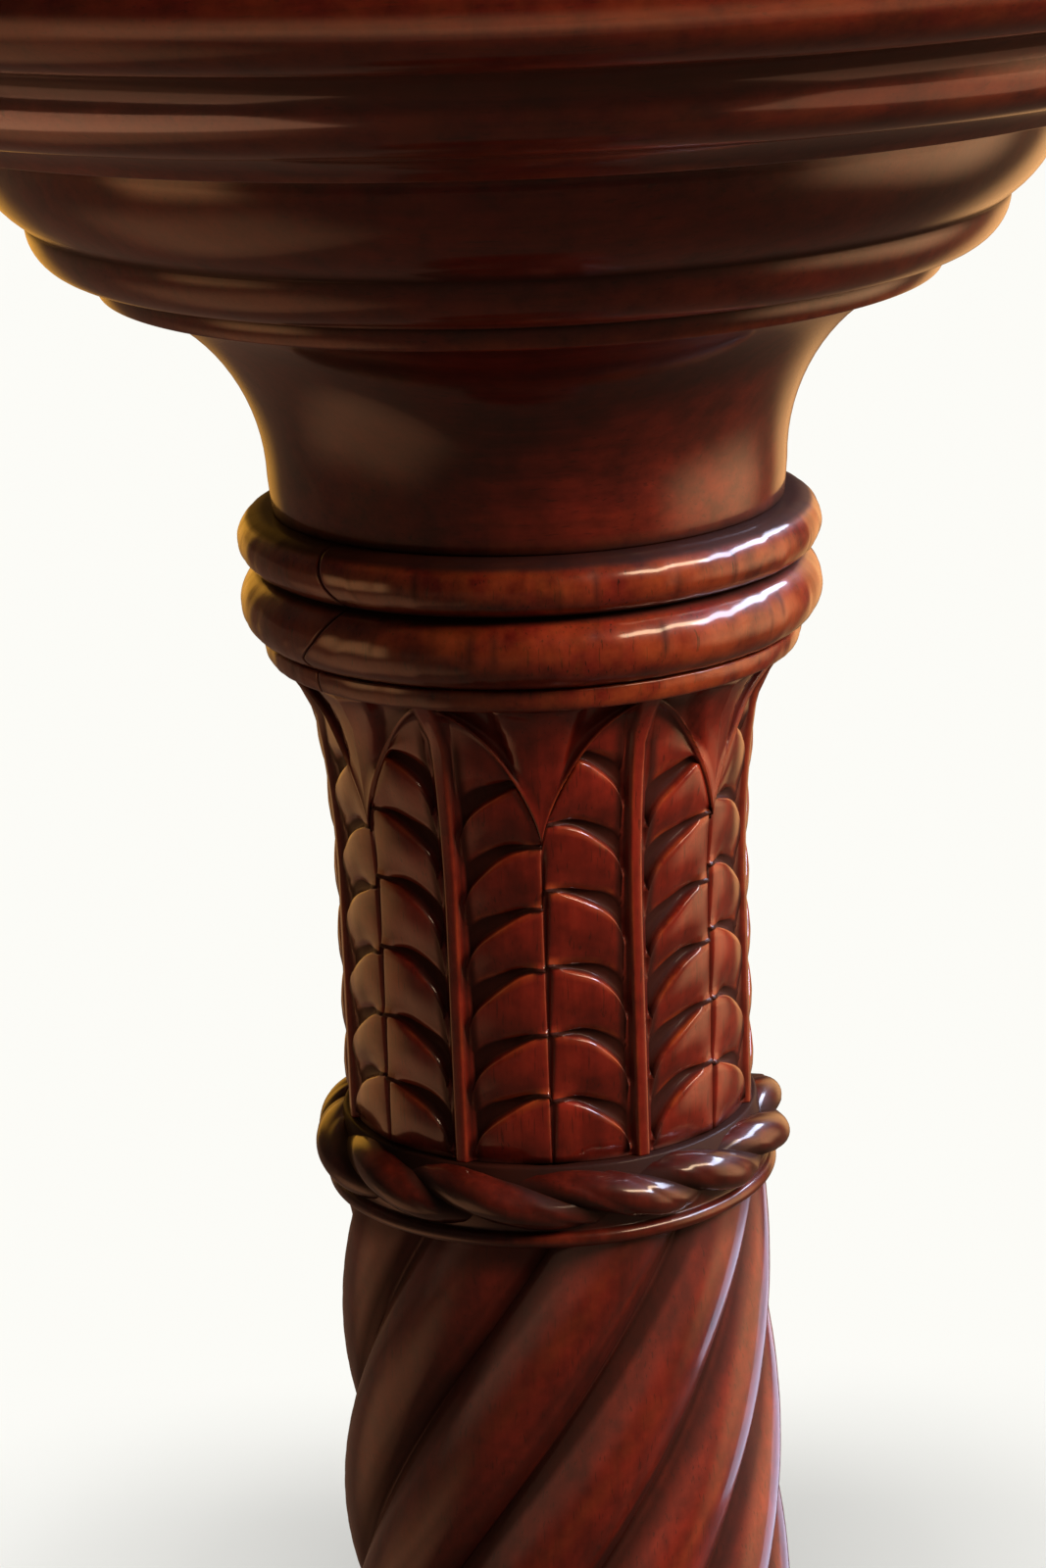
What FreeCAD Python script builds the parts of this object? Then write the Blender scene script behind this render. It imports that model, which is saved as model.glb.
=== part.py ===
import FreeCAD, Part
import math
import os
from FreeCAD import Vector

# Torchere stand in turned and carved mahogany: a moulded round top on a leaf-carved neck, a spirally
# reeded shaft and a moulded round base on four bun feet. Millimetres, +Z up, origin on the floor
# under the axis of the column, front towards -Y.

# Heights of the plain members, from the floor up
foot_height = 42.0
plinth_thickness = 30.0
shaft_length = 621.0
collar_height = 16.5
neck_height = 103.0
bell_height = 46.25
top_thickness = 24.0

# Top board and plinth
top_overhang = 9.0
top_roll_height = 10.0
top_roll_width = 13.0
plinth_radius = 186.0

# Ring moulding under the top, from its soffit up: hollow, roll, quirk and cove
moulding_bore_radius = 62.0
moulding_foot_radius = 134.0
hollow_projection = 12.5
hollow_height = 6.5
roll_projection = 13.0
roll_height = 9.0
quirk_height = 1.5
cove_projection = 7.5
cove_height = 5.5

# Turned boss under the ring moulding, from its foot up: fillet, ledge, ovolo, step, tall ovolo, cove
boss_foot_radius = 84.0
boss_fillet_projection = 1.0
boss_fillet_height = 4.6
boss_ledge_projection = 3.5
boss_ledge_height = 0.6
ovolo_projection = 9.5
ovolo_height = 10.2
boss_step_projection = 3.0
boss_step_height = 2.3
tall_ovolo_projection = 8.0
tall_ovolo_height = 15.4
boss_cove_projection = 3.0
boss_cove_height = 5.65

# Bell, and the pair of half-round rings on its small end
bell_head_radius = 79.5
bell_foot_radius = 52.0
bell_foot_height = 7.0
bell_foot_spread = 0.7
ring_radius = 59.5
ring_groove_depth = 5.0
large_ring_height = 14.6
small_ring_height = 11.4

# Neck under its carving: straight, then a slow spread, then a short hollow up to the fillet
neck_radius = 44.0
neck_spread_radius = 47.3
neck_spread_height = 39.0
neck_flare_radius = 52.5
neck_flare_height = 9.5
fillet_radius = 55.0
fillet_height = 4.6
fillet_slope = 1.0

# Leaf carving on the neck
leaf_count = 7
tier_count = 6
first_tier_height = 13.7
tier_pitch = 14.0
scale_rise = 11.5
arch_rise = 30.0
arch_bulge = 0.10
relief = 4.0
leaf_ground_depth = 2.4
midrib_width = 4.6

# Rope collar: a ring of two-stranded rope over a plain bead
rope_crossings = 12
rope_strands = 2
rope_centre_radius = 43.5
rope_half_width = 7.5
rope_half_height = 7.0
rope_groove_depth = 2.2
rope_first_angle = 2.5
sections_per_strand = 6
bead_radius = 47.5
bead_height = 3.5

# Spirally reeded shaft
reed_count = 9
reed_end_radius = 45.5
reed_swell = 6.5
reed_depth = 5.8
twist_per_mm = 0.96
twist_at_head = 0.6
sections_per_reed = 3

# Bun feet
foot_count = 4
foot_inset = 48.0
foot_radius = 34.0
foot_sole_radius = 22.0
foot_belly_height = 18.0
foot_neck_radius = 20.0
foot_neck_height = 35.0
foot_head_radius = 22.0
foot_spigot_radius = 11.0
foot_spigot_cover = 8.0

# Joints between the turned pieces
tenon_radius = 20.0
tenon_length = 45.0
bell_socket_depth = 35.0
boss_tenon_radius = 30.0
joint_clearance = 0.1
glue_gap = 0.5
kerf_depth = 26.0
wedge_thick_end = 5.0
wedge_thin_end = 1.6

# Wood screws that hold the mouldings together; a bite is the length in the last piece
screw_count = 6
screw_shank_radius = 2.4
screw_head_radius = 4.6
screw_head_height = 2.8
screw_slot_width = 1.2
screw_slot_depth = 1.4
screw_point_length = 5.0
boss_screw_circle_radius = 88.0
boss_screw_bite = 21.5
top_screw_circle_radius = 123.0
top_screw_bite = 13.5
base_screw_bite = 19.5

# Sizes and levels worked out from the members
moulding_height = hollow_height + roll_height + quirk_height + cove_height
moulding_head_radius = moulding_foot_radius + hollow_projection + roll_projection + cove_projection
boss_height = (boss_fillet_height + boss_ledge_height + ovolo_height + boss_step_height
               + tall_ovolo_height + boss_cove_height)
ring_height = large_ring_height + small_ring_height
top_radius = moulding_head_radius + top_overhang
field_top = neck_height - fillet_height
flare_foot = field_top - neck_flare_height
spread_foot = flare_foot - neck_spread_height
foot_circle_radius = plinth_radius - foot_inset
foot_spigot_length = plinth_thickness - foot_spigot_cover

z_plinth = foot_height
z_base_moulding = z_plinth + plinth_thickness
z_base_boss = z_base_moulding + moulding_height
z_base_bell = z_base_boss + boss_height
z_base_ring = z_base_bell + bell_height
z_lower_collar = z_base_ring + ring_height
z_shaft = z_lower_collar + collar_height
z_upper_collar = z_shaft + shaft_length
z_neck = z_upper_collar + collar_height
z_bell = z_neck + neck_height + ring_height
z_boss = z_bell + bell_height
z_moulding = z_boss + boss_height
z_top = z_moulding + moulding_height

# Bulge of a round as a share of its chord: a positive one stands out to the right of the way drawn
HALF_ROUND = 0.5
QUARTER_ROUND = (math.sqrt(2.0) - 1.0) / 2.0
SOFT_ROUND = 0.10
FULL_TURN = 360.0
AXIS = Vector(0, 0, 1)
ORIGIN = Vector(0, 0, 0)


def upright_bulge(across, rise):
    """Bulge of the round that is upright at one end and goes across and up by these distances."""
    return math.tan(math.atan2(abs(across), abs(rise)) / 2) / 2


def outline_edges(points):
    """Edges through (radius, height) points; a third value is the bulge of the round that leads there."""
    edges = []
    for start, step in zip(points, points[1:] + points[:1]):
        a = Vector(start[0], 0, start[1])
        b = Vector(step[0], 0, step[1])
        if len(step) == 3:
            chord = b - a
            right = Vector(chord.z, 0, -chord.x)
            edges.append(Part.Arc(a, (a + b) * 0.5 + right * step[2], b).toShape())
        else:
            edges.append(Part.makeLine(a, b))
    return edges


def turned(points):
    """A solid of revolution about the column's axis from a closed outline of (radius, height) points."""
    face = Part.Face(Part.Wire(outline_edges(points)))
    return face.revolve(ORIGIN, AXIS, FULL_TURN)


def stacked(start, members):
    """Outline points of moulding members, each (projection, height[, bulge]), upwards from a start."""
    points = [start]
    for projection, height, *bulge in members:
        points.append((points[-1][0] + projection, points[-1][1] + height, *bulge))
    return points


def raised(shape, z):
    """The shape lifted to height z."""
    return shape.translated(Vector(0, 0, z))


def upended(shape):
    """The shape turned upside down about the front-to-back line through the origin."""
    return shape.rotated(ORIGIN, Vector(0, 1, 0), FULL_TURN / 2)


def around(shape, count, first_angle=0.0):
    """Copies of the shape spaced evenly round the axis."""
    return [shape.rotated(ORIGIN, AXIS, first_angle + FULL_TURN * i / count) for i in range(count)]


def plug(radius, length, z):
    """A round bar on the axis, upwards from height z."""
    return Part.makeCylinder(radius, length, Vector(0, 0, z))


def tenon_wedge(clearance=0.0):
    """The tapered slip that spreads a through tenon, thick end up at height 0, cut to the tenon's round."""
    depth = kerf_depth + clearance
    thick = wedge_thick_end / 2 + clearance
    thin = wedge_thin_end / 2 + clearance
    side = -boss_tenon_radius
    corners = [Vector(side, -thick, 0), Vector(side, thick, 0),
               Vector(side, thin, -depth), Vector(side, -thin, -depth)]
    face = Part.Face(Part.makePolygon(corners + corners[:1]))
    slip = face.extrude(Vector(2 * boss_tenon_radius, 0, 0))
    return slip.common(plug(boss_tenon_radius, depth, -depth))


def screw(length, clearance):
    """A countersunk wood screw with its head's face at height 0, pointing down; clearance makes its hole."""
    shank = screw_shank_radius + clearance
    head = screw_head_radius + clearance
    end = length + clearance
    body = turned([(0, 0), (0, -end), (shank, screw_point_length - end), (shank, -screw_head_height), (head, 0)])
    if clearance:
        return body
    slot = Part.makeBox(2 * head, screw_slot_width, screw_slot_depth)
    return body.cut(slot.translated(Vector(-head, -screw_slot_width / 2, -screw_slot_depth)))


def screw_ring(length, circle_radius, z, upwards, first_angle, clearance):
    """Screws evenly round a circle, with their heads at height z."""
    one = screw(length, clearance)
    if upwards:
        one = upended(one)
    return around(one.translated(Vector(circle_radius, 0, z)), screw_count, first_angle)


def boss_screws(clearance=0.0):
    """Screws down through the ring moulding into the boss, under the top board."""
    length = moulding_height + boss_screw_bite
    return screw_ring(length, boss_screw_circle_radius, z_top, False, 0.0, clearance)


def top_screws(clearance=0.0):
    """Screws up through the soffit of the ring moulding into the top board."""
    length = moulding_height + top_screw_bite
    half_pitch = FULL_TURN / screw_count / 2
    return screw_ring(length, top_screw_circle_radius, z_moulding, True, half_pitch, clearance)


def base_screws(clearance=0.0):
    """Screws up through the plinth and the base moulding into the base boss."""
    length = plinth_thickness + moulding_height + base_screw_bite
    return screw_ring(length, boss_screw_circle_radius, z_plinth, True, 0.0, clearance)


def bored(shape, holes):
    """The shape with its screw holes."""
    return shape.cut(Part.makeCompound(holes))


def top_board():
    """Round top with a thumb-moulded rim, tight below and wide above."""
    upper_roll = top_thickness - top_roll_height
    board = turned([(0, 0), (moulding_head_radius, 0),
                    (top_radius, top_roll_height, upright_bulge(top_overhang, top_roll_height)),
                    (top_radius - top_roll_width, top_thickness, upright_bulge(top_roll_width, upper_roll)),
                    (0, top_thickness)])
    return bored(raised(board, z_top), top_screws(joint_clearance))


def ring_moulding():
    """Ring under the top, seen from its soffit up: hollow, roll, quirk and cove."""
    members = [(hollow_projection, hollow_height, -SOFT_ROUND), (roll_projection, roll_height, QUARTER_ROUND),
               (0, quirk_height), (cove_projection, cove_height, -QUARTER_ROUND)]
    outside = stacked((moulding_foot_radius, 0), members)
    return turned([(moulding_bore_radius, 0)] + outside + [(moulding_bore_radius, moulding_height)])


def moulded_boss():
    """Turned block under the ring, bored for the bell's tenon."""
    members = [(boss_fillet_projection, boss_fillet_height, SOFT_ROUND),
               (boss_ledge_projection, boss_ledge_height), (ovolo_projection, ovolo_height, QUARTER_ROUND),
               (boss_step_projection, boss_step_height),
               (tall_ovolo_projection, tall_ovolo_height, SOFT_ROUND),
               (boss_cove_projection, boss_cove_height, -QUARTER_ROUND)]
    bore = boss_tenon_radius + joint_clearance
    return turned([(bore, 0)] + stacked((boss_foot_radius, 0), members) + [(bore, boss_height)])


def flared_bell():
    """Concave bell with a through tenon on top, kerfed for its wedge, and a blind socket below."""
    waist_radius = bell_foot_radius + bell_foot_spread
    flare = upright_bulge(bell_head_radius - waist_radius, bell_height - bell_foot_height)
    tenon_top = bell_height + boss_height
    body = turned([(0, 0), (bell_foot_radius, 0), (waist_radius, bell_foot_height),
                   (bell_head_radius, bell_height, -flare), (boss_tenon_radius, bell_height),
                   (boss_tenon_radius, tenon_top), (0, tenon_top)])
    socket = plug(tenon_radius + joint_clearance, bell_socket_depth + glue_gap, 0)
    return body.cut(socket).cut(raised(tenon_wedge(joint_clearance), tenon_top))


def ring_pair(z):
    """Outline points of the two rings with a groove between them, upwards from height z."""
    groove = ring_radius - ring_groove_depth
    return stacked((groove, z), [(0, large_ring_height, ring_groove_depth / large_ring_height),
                                 (0, small_ring_height, ring_groove_depth / small_ring_height)])


def field_outline(inset):
    """Outline points of the neck's outer face up to the fillet, set in by a depth below the flare's head."""
    slow = upright_bulge(neck_spread_radius - neck_radius, neck_spread_height)
    return [(neck_radius - inset, 0), (neck_radius - inset, spread_foot),
            (neck_spread_radius - inset, flare_foot, -slow), (neck_flare_radius, field_top, -SOFT_ROUND)]


def field_radius(z):
    """Radius of the neck's outer face at a height below the flare."""
    rise = max(z - spread_foot, 0.0) / neck_spread_height
    return neck_radius + (neck_spread_radius - neck_radius) * rise ** 2


def neck_core():
    """Turned body of the neck under the leaves: column, flare, fillet, two rings and a tenon."""
    total = neck_height + ring_height
    body = turned([(0, 0)] + field_outline(relief)
                  + [(fillet_radius - fillet_slope, field_top), (fillet_radius, neck_height, SOFT_ROUND)]
                  + ring_pair(neck_height)
                  + [(tenon_radius, total), (tenon_radius, total + bell_socket_depth),
                     (0, total + bell_socket_depth)])
    return body.cut(plug(tenon_radius + joint_clearance, tenon_length + glue_gap, 0))


def upright_prism(edges):
    """The closed outline in the X-Z plane drawn out towards the front, past the face of the neck."""
    return Part.Face(Part.Wire(edges)).extrude(Vector(0, -2 * neck_radius, 0))


def leaf_half_width():
    """Half the width of a leaf, so that the leaves meet round the neck."""
    return neck_radius * math.sin(math.pi / leaf_count)


def leaf_arch():
    """Prism of a whole leaf: upright sides and a pointed head of two soft rounds that touches the fillet."""
    far = leaf_half_width()
    spring = field_top - arch_rise
    return upright_prism(outline_edges([(-far, 0), (far, 0), (far, spring), (0, field_top, arch_bulge),
                                        (-far, spring, arch_bulge)]))


def leaf_scale(z_high, side):
    """One lobe of a half leaf: a shingle that stands proud at its arched top edge.

    A cone-faced ring, low at its foot and proud at z_high, is trimmed by an upright prism whose top
    edge is a quarter round that rises from the midrib to the edge of the leaf."""
    far = leaf_half_width()
    near = midrib_width / 2
    face = field_radius(z_high)
    inner = neck_radius - 2 * relief
    springing = z_high - scale_rise
    z_low = springing - tier_pitch
    foot = field_radius(z_low) - relief
    ring = turned([(inner, z_low), (foot, z_low), (face, z_high), (inner, z_high)])
    middle = Vector(side * (near + (1 - math.sqrt(0.5)) * (far - near)), 0,
                    springing + math.sqrt(0.5) * scale_rise)
    corners = [Vector(side * x, 0, z) for x, z in
               ((near, springing), (far, z_high), (far, z_low), (near, z_low))]
    edges = [Part.Arc(corners[0], middle, corners[1]).toShape()]
    edges += [Part.makeLine(a, b) for a, b in zip(corners[1:], corners[2:] + corners[:1])]
    return ring.common(upright_prism(edges))


def leaf_skin(depth):
    """Ring of the neck's outer face, set in by a depth, for the smooth ground or the ribs of the leaves."""
    inner = neck_radius - 2 * relief
    return turned([(inner, 0)] + field_outline(depth) + [(inner, field_top)])


def midrib():
    """Raised upright rib down the middle of a leaf, flush with the neck's outer face."""
    rib = Part.makeBox(midrib_width, 2 * neck_radius, field_top)
    return leaf_skin(0.0).common(rib.translated(Vector(-midrib_width / 2, -2 * neck_radius, 0)))


def carved_neck():
    """Leaf-carved neck and its two rings, carved from one block."""
    pieces = [midrib()]
    for tier in range(tier_count):
        z_high = first_tier_height + tier * tier_pitch
        pieces += [leaf_scale(z_high, side) for side in (-1, 1)]
    leaf = leaf_skin(leaf_ground_depth).multiFuse(pieces).common(leaf_arch())
    first_angle = FULL_TURN / leaf_count / 2
    body = neck_core().multiFuse(around(leaf, leaf_count, first_angle))
    return raised(body, z_neck)


def rope_section(turn):
    """Wire of the rope's cross-section in the X-Z plane, its strands turned by the given angle."""
    groove = 1 - rope_groove_depth / rope_half_width

    def point(angle, reach):
        x = rope_centre_radius + rope_half_width * reach * math.cos(angle)
        return Vector(x, 0, rope_half_height * reach * math.sin(angle))

    pitch = 2 * math.pi / rope_strands
    edges = []
    for strand in range(rope_strands):
        first = turn + strand * pitch
        edges.append(Part.Arc(point(first, groove), point(first + pitch / 2, 1.0),
                              point(first + pitch, groove)).toShape())
    return Part.Wire(edges)


def rope_crossing():
    """The stretch of rope in which its section turns down by one strand, starting on the X axis."""
    strand_turn = 2 * math.pi / rope_strands
    sections = []
    for i in range(sections_per_strand + 1):
        along = i / sections_per_strand
        section = rope_section(-along * strand_turn)
        section.rotate(ORIGIN, AXIS, along * FULL_TURN / rope_crossings)
        sections.append(section)
    return Part.makeLoft(sections, True)


def rope_collar():
    """Collar ring, bead down: the rope lies round a plain band that the shaft's tenon passes through."""
    bore = tenon_radius + joint_clearance
    bead_foot = bead_radius - bead_height / 2
    band = turned([(bore, 0), (bead_foot, 0), (bead_foot, bead_height, HALF_ROUND),
                   (rope_centre_radius, bead_height), (rope_centre_radius, collar_height),
                   (bore, collar_height)])
    crossing = raised(rope_crossing(), collar_height - rope_half_height)
    return band.multiFuse(around(crossing, rope_crossings, rope_first_angle))


def reed_section(radius, turn, z):
    """Wire round the shaft: one arc for each reed, meeting its neighbours in a groove."""
    def point(angle, reach):
        return Vector(reach * math.sin(angle), -reach * math.cos(angle), z)

    pitch = 2 * math.pi / reed_count
    edges = []
    for reed in range(reed_count):
        first = turn + reed * pitch
        edges.append(Part.Arc(point(first, radius - reed_depth), point(first + pitch / 2, radius),
                              point(first + pitch, radius - reed_depth)).toShape())
    return Part.Wire(edges)


def twist_shaft():
    """Shaft of convex reeds that climb to the right round a swelling column, with a tenon at each end."""
    twist = twist_per_mm * shaft_length
    steps = math.ceil(abs(twist) / FULL_TURN * reed_count * sections_per_reed)
    sections = []
    for i in range(steps + 1):
        along = i / steps
        radius = reed_end_radius + reed_swell * math.sin(math.pi * along)
        turn = math.radians(twist_at_head - twist * (1 - along))
        sections.append(reed_section(radius, turn, along * shaft_length))
    reeds = Part.makeLoft(sections, True)
    upper_reach = collar_height + tenon_length
    lower_reach = collar_height + ring_height + bell_socket_depth
    tenons = [plug(tenon_radius, upper_reach, shaft_length), plug(tenon_radius, lower_reach, -lower_reach)]
    return raised(reeds.multiFuse(tenons), z_shaft)


def base_ring():
    """The two rings between the base's bell and the lower collar, bored for the shaft's tenon."""
    bore = tenon_radius + joint_clearance
    return turned([(bore, 0)] + ring_pair(0) + [(bore, ring_height)])


def bun_foot(clearance=0.0):
    """Turned bun foot with a spigot on top, standing on the axis."""
    spigot = foot_spigot_radius + clearance
    top = foot_height + foot_spigot_length + clearance
    belly = upright_bulge(foot_radius - foot_sole_radius, foot_belly_height)
    shoulder = upright_bulge(foot_radius - foot_neck_radius, foot_neck_height - foot_belly_height)
    return turned([(0, 0), (foot_sole_radius, 0), (foot_radius, foot_belly_height, belly),
                   (foot_neck_radius, foot_neck_height, shoulder), (foot_head_radius, foot_height),
                   (spigot, foot_height), (spigot, top), (0, top)])


def feet(clearance=0.0):
    """The bun feet on their circle, one on each diagonal."""
    half_pitch = FULL_TURN / foot_count / 2
    return around(bun_foot(clearance).translated(Vector(foot_circle_radius, 0, 0)), foot_count, half_pitch)


def plinth():
    """Thick round plinth with a bullnose edge, bored from below for the feet and the screws."""
    edge = plinth_radius - plinth_thickness / 2
    disc = turned([(0, 0), (edge, 0), (edge, plinth_thickness, HALF_ROUND), (0, plinth_thickness)])
    return bored(raised(disc, z_plinth), feet(joint_clearance) + base_screws(joint_clearance))


def nodes():
    """Every piece of the stand at its place, by name; the base repeats the capital upside down."""
    ring = ring_moulding()
    boss = moulded_boss()
    bell = flared_bell()
    collar = rope_collar()
    ring_holes = boss_screws(joint_clearance) + top_screws(joint_clearance)
    base_holes = base_screws(joint_clearance)
    pieces = {
        "top_board": top_board(),
        "upper_moulding": bored(raised(ring, z_moulding), ring_holes),
        "capital_boss": bored(raised(boss, z_boss), boss_screws(joint_clearance)),
        "capital_wedge": raised(tenon_wedge(), z_moulding),
        "bell_neck": raised(bell, z_bell),
        "carved_neck": carved_neck(),
        "upper_rope_collar": raised(collar, z_upper_collar),
        "twist_shaft": twist_shaft(),
        "lower_rope_collar": raised(upended(collar), z_shaft),
        "base_ring": raised(base_ring(), z_base_ring),
        "base_bell": raised(upended(bell), z_base_ring),
        "base_wedge": raised(upended(tenon_wedge()), z_base_boss),
        "base_boss": bored(raised(upended(boss), z_base_bell), base_holes),
        "base_moulding": bored(raised(upended(ring), z_base_boss), base_holes),
        "base_plinth": plinth(),
        "boss_screws": Part.makeCompound(boss_screws()),
        "top_screws": Part.makeCompound(top_screws()),
        "base_screws": Part.makeCompound(base_screws()),
    }
    for number, foot in enumerate(feet(), start=1):
        pieces["bun_foot_%d" % number] = foot
    return pieces


os.makedirs("parts", exist_ok=True)
for name, piece in nodes().items():
    piece.exportStep("parts/%s.step" % name)
    print("%-18s solids %2d  volume %10.0f mm3" % (name, len(piece.Solids), piece.Volume))
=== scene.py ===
import math

import bpy
import numpy as np
from mathutils import Matrix, Vector


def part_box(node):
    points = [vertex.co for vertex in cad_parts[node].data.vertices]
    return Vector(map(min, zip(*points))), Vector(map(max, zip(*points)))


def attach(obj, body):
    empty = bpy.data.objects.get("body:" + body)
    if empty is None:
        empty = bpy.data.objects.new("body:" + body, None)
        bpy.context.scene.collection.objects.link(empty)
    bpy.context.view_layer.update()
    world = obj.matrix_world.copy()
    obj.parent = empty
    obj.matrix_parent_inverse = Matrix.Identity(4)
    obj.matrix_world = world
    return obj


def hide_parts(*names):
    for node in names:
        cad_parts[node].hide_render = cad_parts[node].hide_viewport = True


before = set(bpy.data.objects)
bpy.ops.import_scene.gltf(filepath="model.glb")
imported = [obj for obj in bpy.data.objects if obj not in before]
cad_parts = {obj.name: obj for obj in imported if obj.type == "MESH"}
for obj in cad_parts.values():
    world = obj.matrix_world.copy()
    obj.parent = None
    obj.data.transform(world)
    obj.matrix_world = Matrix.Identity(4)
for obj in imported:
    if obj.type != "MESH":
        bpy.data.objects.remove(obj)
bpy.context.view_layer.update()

# Torchere stand in French-polished mahogany. Lengths are in millimetres and become metres in the meshes;
# angles round the column are measured from the front, positive to the right.
MM = 0.001
FULL_TURN = 2 * np.pi


def low(node):
    """Height of a piece's lowest point."""
    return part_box(node)[0].z / MM


def high(node):
    """Height of a piece's highest point."""
    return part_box(node)[1].z / MM


def reach(node):
    """Distance of a round piece's rim from the axis: the least of its four sides, so that it stays inside."""
    least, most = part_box(node)
    return min(-least.x, -least.y, most.x, most.y) / MM


# Turned members; a bulge is a round's rise as a share of its chord, negative where it is hollow
HALF_ROUND = 0.5
QUARTER_ROUND = (math.sqrt(2.0) - 1.0) / 2.0
SOFT_ROUND = 0.10
TOP_ROLL_HEIGHT = 10.0
TOP_ROLL_WIDTH = 13.0
MOULDING_BORE = 62.0
MOULDING_FOOT_RADIUS = 134.0
MOULDING_MEMBERS = [(12.5, 6.5, -SOFT_ROUND), (13.0, 9.0, QUARTER_ROUND), (0.0, 1.5, 0.0),
                    (7.5, 5.5, -QUARTER_ROUND)]
SOFFIT_RECESS = 0.4
SOFFIT_SLOPE = 1.0
BOSS_BORE = 30.1
BOSS_FOOT_RADIUS = 84.0
BOSS_MEMBERS = [(1.0, 4.6, SOFT_ROUND), (3.5, 0.6, 0.0), (9.5, 10.2, QUARTER_ROUND), (3.0, 2.3, 0.0),
                (8.0, 15.4, SOFT_ROUND), (3.0, 5.65, -QUARTER_ROUND)]
BELL_FOOT_RADIUS = 52.0
BELL_WAIST_RADIUS = 52.7
BELL_FOOT_HEIGHT = 7.0
BELL_HEAD_RADIUS = 79.5
RING_GROOVE_RADIUS = 53.9
RING_DEPTH = 5.6
LARGE_RING_HEIGHT = 14.6
SMALL_RING_HEIGHT = 11.4
RING_MEMBERS = [(0, LARGE_RING_HEIGHT, RING_DEPTH / LARGE_RING_HEIGHT),
                (0, SMALL_RING_HEIGHT, RING_DEPTH / SMALL_RING_HEIGHT)]
TENON_BORE = 20.1
TENON_CLEARANCE = 0.1

# Neck and its leaves
NECK_RADIUS = 44.0
SPREAD_RADIUS = 47.3
SPREAD_HEIGHT = 39.0
FLARE_RADIUS = 52.5
FLARE_HEIGHT = 9.5
FLARE_HOLLOW = 0.36
FILLET_HEIGHT = 4.6
FILLET_RADIUS = 55.0
FILLET_SLOPE = 1.0
NECK_HEIGHT = 103.0
LEAVES = 7
TIERS = 6
FIRST_TIER = (13.7, 14.7)
TIER_PITCH = (14.6, 13.35)
TIER_RISE = 12.6
EDGE_POWER = (1.8, 1.5)
ARCH_RISE = 30.0
ARCH_POWER = 1.4

# Rope collars
COLLAR_HEIGHT = 16.5
ROPE_CROSSINGS = 12
ROPE_FIRST_ANGLE = math.radians(92.5)
ROPE_CENTRE_RADIUS = 43.5
ROPE_HALF_WIDTH = 7.5
ROPE_HALF_HEIGHT = 6.6
ROPE_CENTRE_HEIGHT = 9.7
ROPE_GROOVE = 3.2
ROPE_ROWS = 26
ROPE_COLUMNS = 26
ROPE_CROWN = 0.85
BEAD_RADIUS = 47.5
BEAD_HEIGHT = 3.5
# Heights over which the band darkens from the bead's top up under the rope: old wax and painted shade
COLLAR_WAX_AND_SHADE = (BEAD_HEIGHT - 0.5, BEAD_HEIGHT + 6.0)
COLLAR_WORN = 0.15
ROPE_GROUND_RADIUS = 46.6
ROPE_GROUND_HEIGHT = 7.0

# Spirally reeded shaft
REEDS = 9
REED_END_RADIUS = 45.5
REED_SWELL = 6.5
REED_DEPTH = 5.8
TWIST_PER_MM = math.radians(0.96)
TWIST_AT_HEAD = math.radians(0.6)

# Feet
FOOT_CIRCLE = 138.0
FOOT_RADIUS = 34.0
FOOT_SOLE = 22.0
FOOT_BELLY = 18.0
FOOT_NECK_RADIUS = 20.0
FOOT_NECK = 35.0
FOOT_HEAD_RADIUS = 22.0
FOOT_SPIGOT_RADIUS = 11.0
FOOT_SPIGOT_LENGTH = 22.0

# Levels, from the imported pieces
Z_FOOT_TOP = low("base_plinth")
Z_BASE_MOULDING = low("base_moulding")
Z_BASE_BOSS = high("base_moulding")
Z_BASE_BELL = high("base_boss")
Z_BASE_RING = low("base_ring")
Z_SHAFT = high("lower_rope_collar")
Z_UPPER_COLLAR = low("upper_rope_collar")
Z_NECK = low("carved_neck")
Z_BELL = low("bell_neck")
Z_BOSS = low("capital_boss")
Z_MOULDING = low("upper_moulding")
Z_TOP = low("top_board")
TOP_THICKNESS = high("top_board") - Z_TOP
BELL_HEIGHT = Z_BOSS - Z_BELL
MOULDING_HEIGHT = Z_TOP - Z_MOULDING
BOSS_HEIGHT = Z_MOULDING - Z_BOSS
RING_HEIGHT = LARGE_RING_HEIGHT + SMALL_RING_HEIGHT
MOULDING_HEAD_RADIUS = MOULDING_FOOT_RADIUS + sum(member[0] for member in MOULDING_MEMBERS)
FIELD_TOP = NECK_HEIGHT - FILLET_HEIGHT
PLINTH_THICKNESS = Z_BASE_MOULDING - Z_FOOT_TOP

# How finely the surfaces are divided, and how far their arrises are worn round
DRAWN_STEP = 0.1
ROW_LENGTH = 7.0
ROW_TURN = math.radians(7.0)
COLUMNS = 216
ARRIS_WEAR = 0.42
ARRIS_REACH = 1.8
ARRIS_FULL = 0.30
# How far a crevice's darkening reaches, and how deep a crevice lies for full darkness: old wax and painted
# shade
CREVICE_REACH = 4.0
CREVICE_FULL = 1.0


def upright_bulge(across, rise):
    """Bulge of the round that is upright at one end and goes across and up by these distances.

    It is half the tangent of half the angle by which the round's chord leans from upright."""
    return math.tan(math.atan2(abs(across), abs(rise)) / 2) / 2


def stacked(start, members):
    """Outline points of members, each (projection, height, bulge), upwards from a start."""
    points = [start]
    for projection, height, bulge in members:
        points.append((points[-1][0] + projection, points[-1][1] + height, bulge))
    return points


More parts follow.
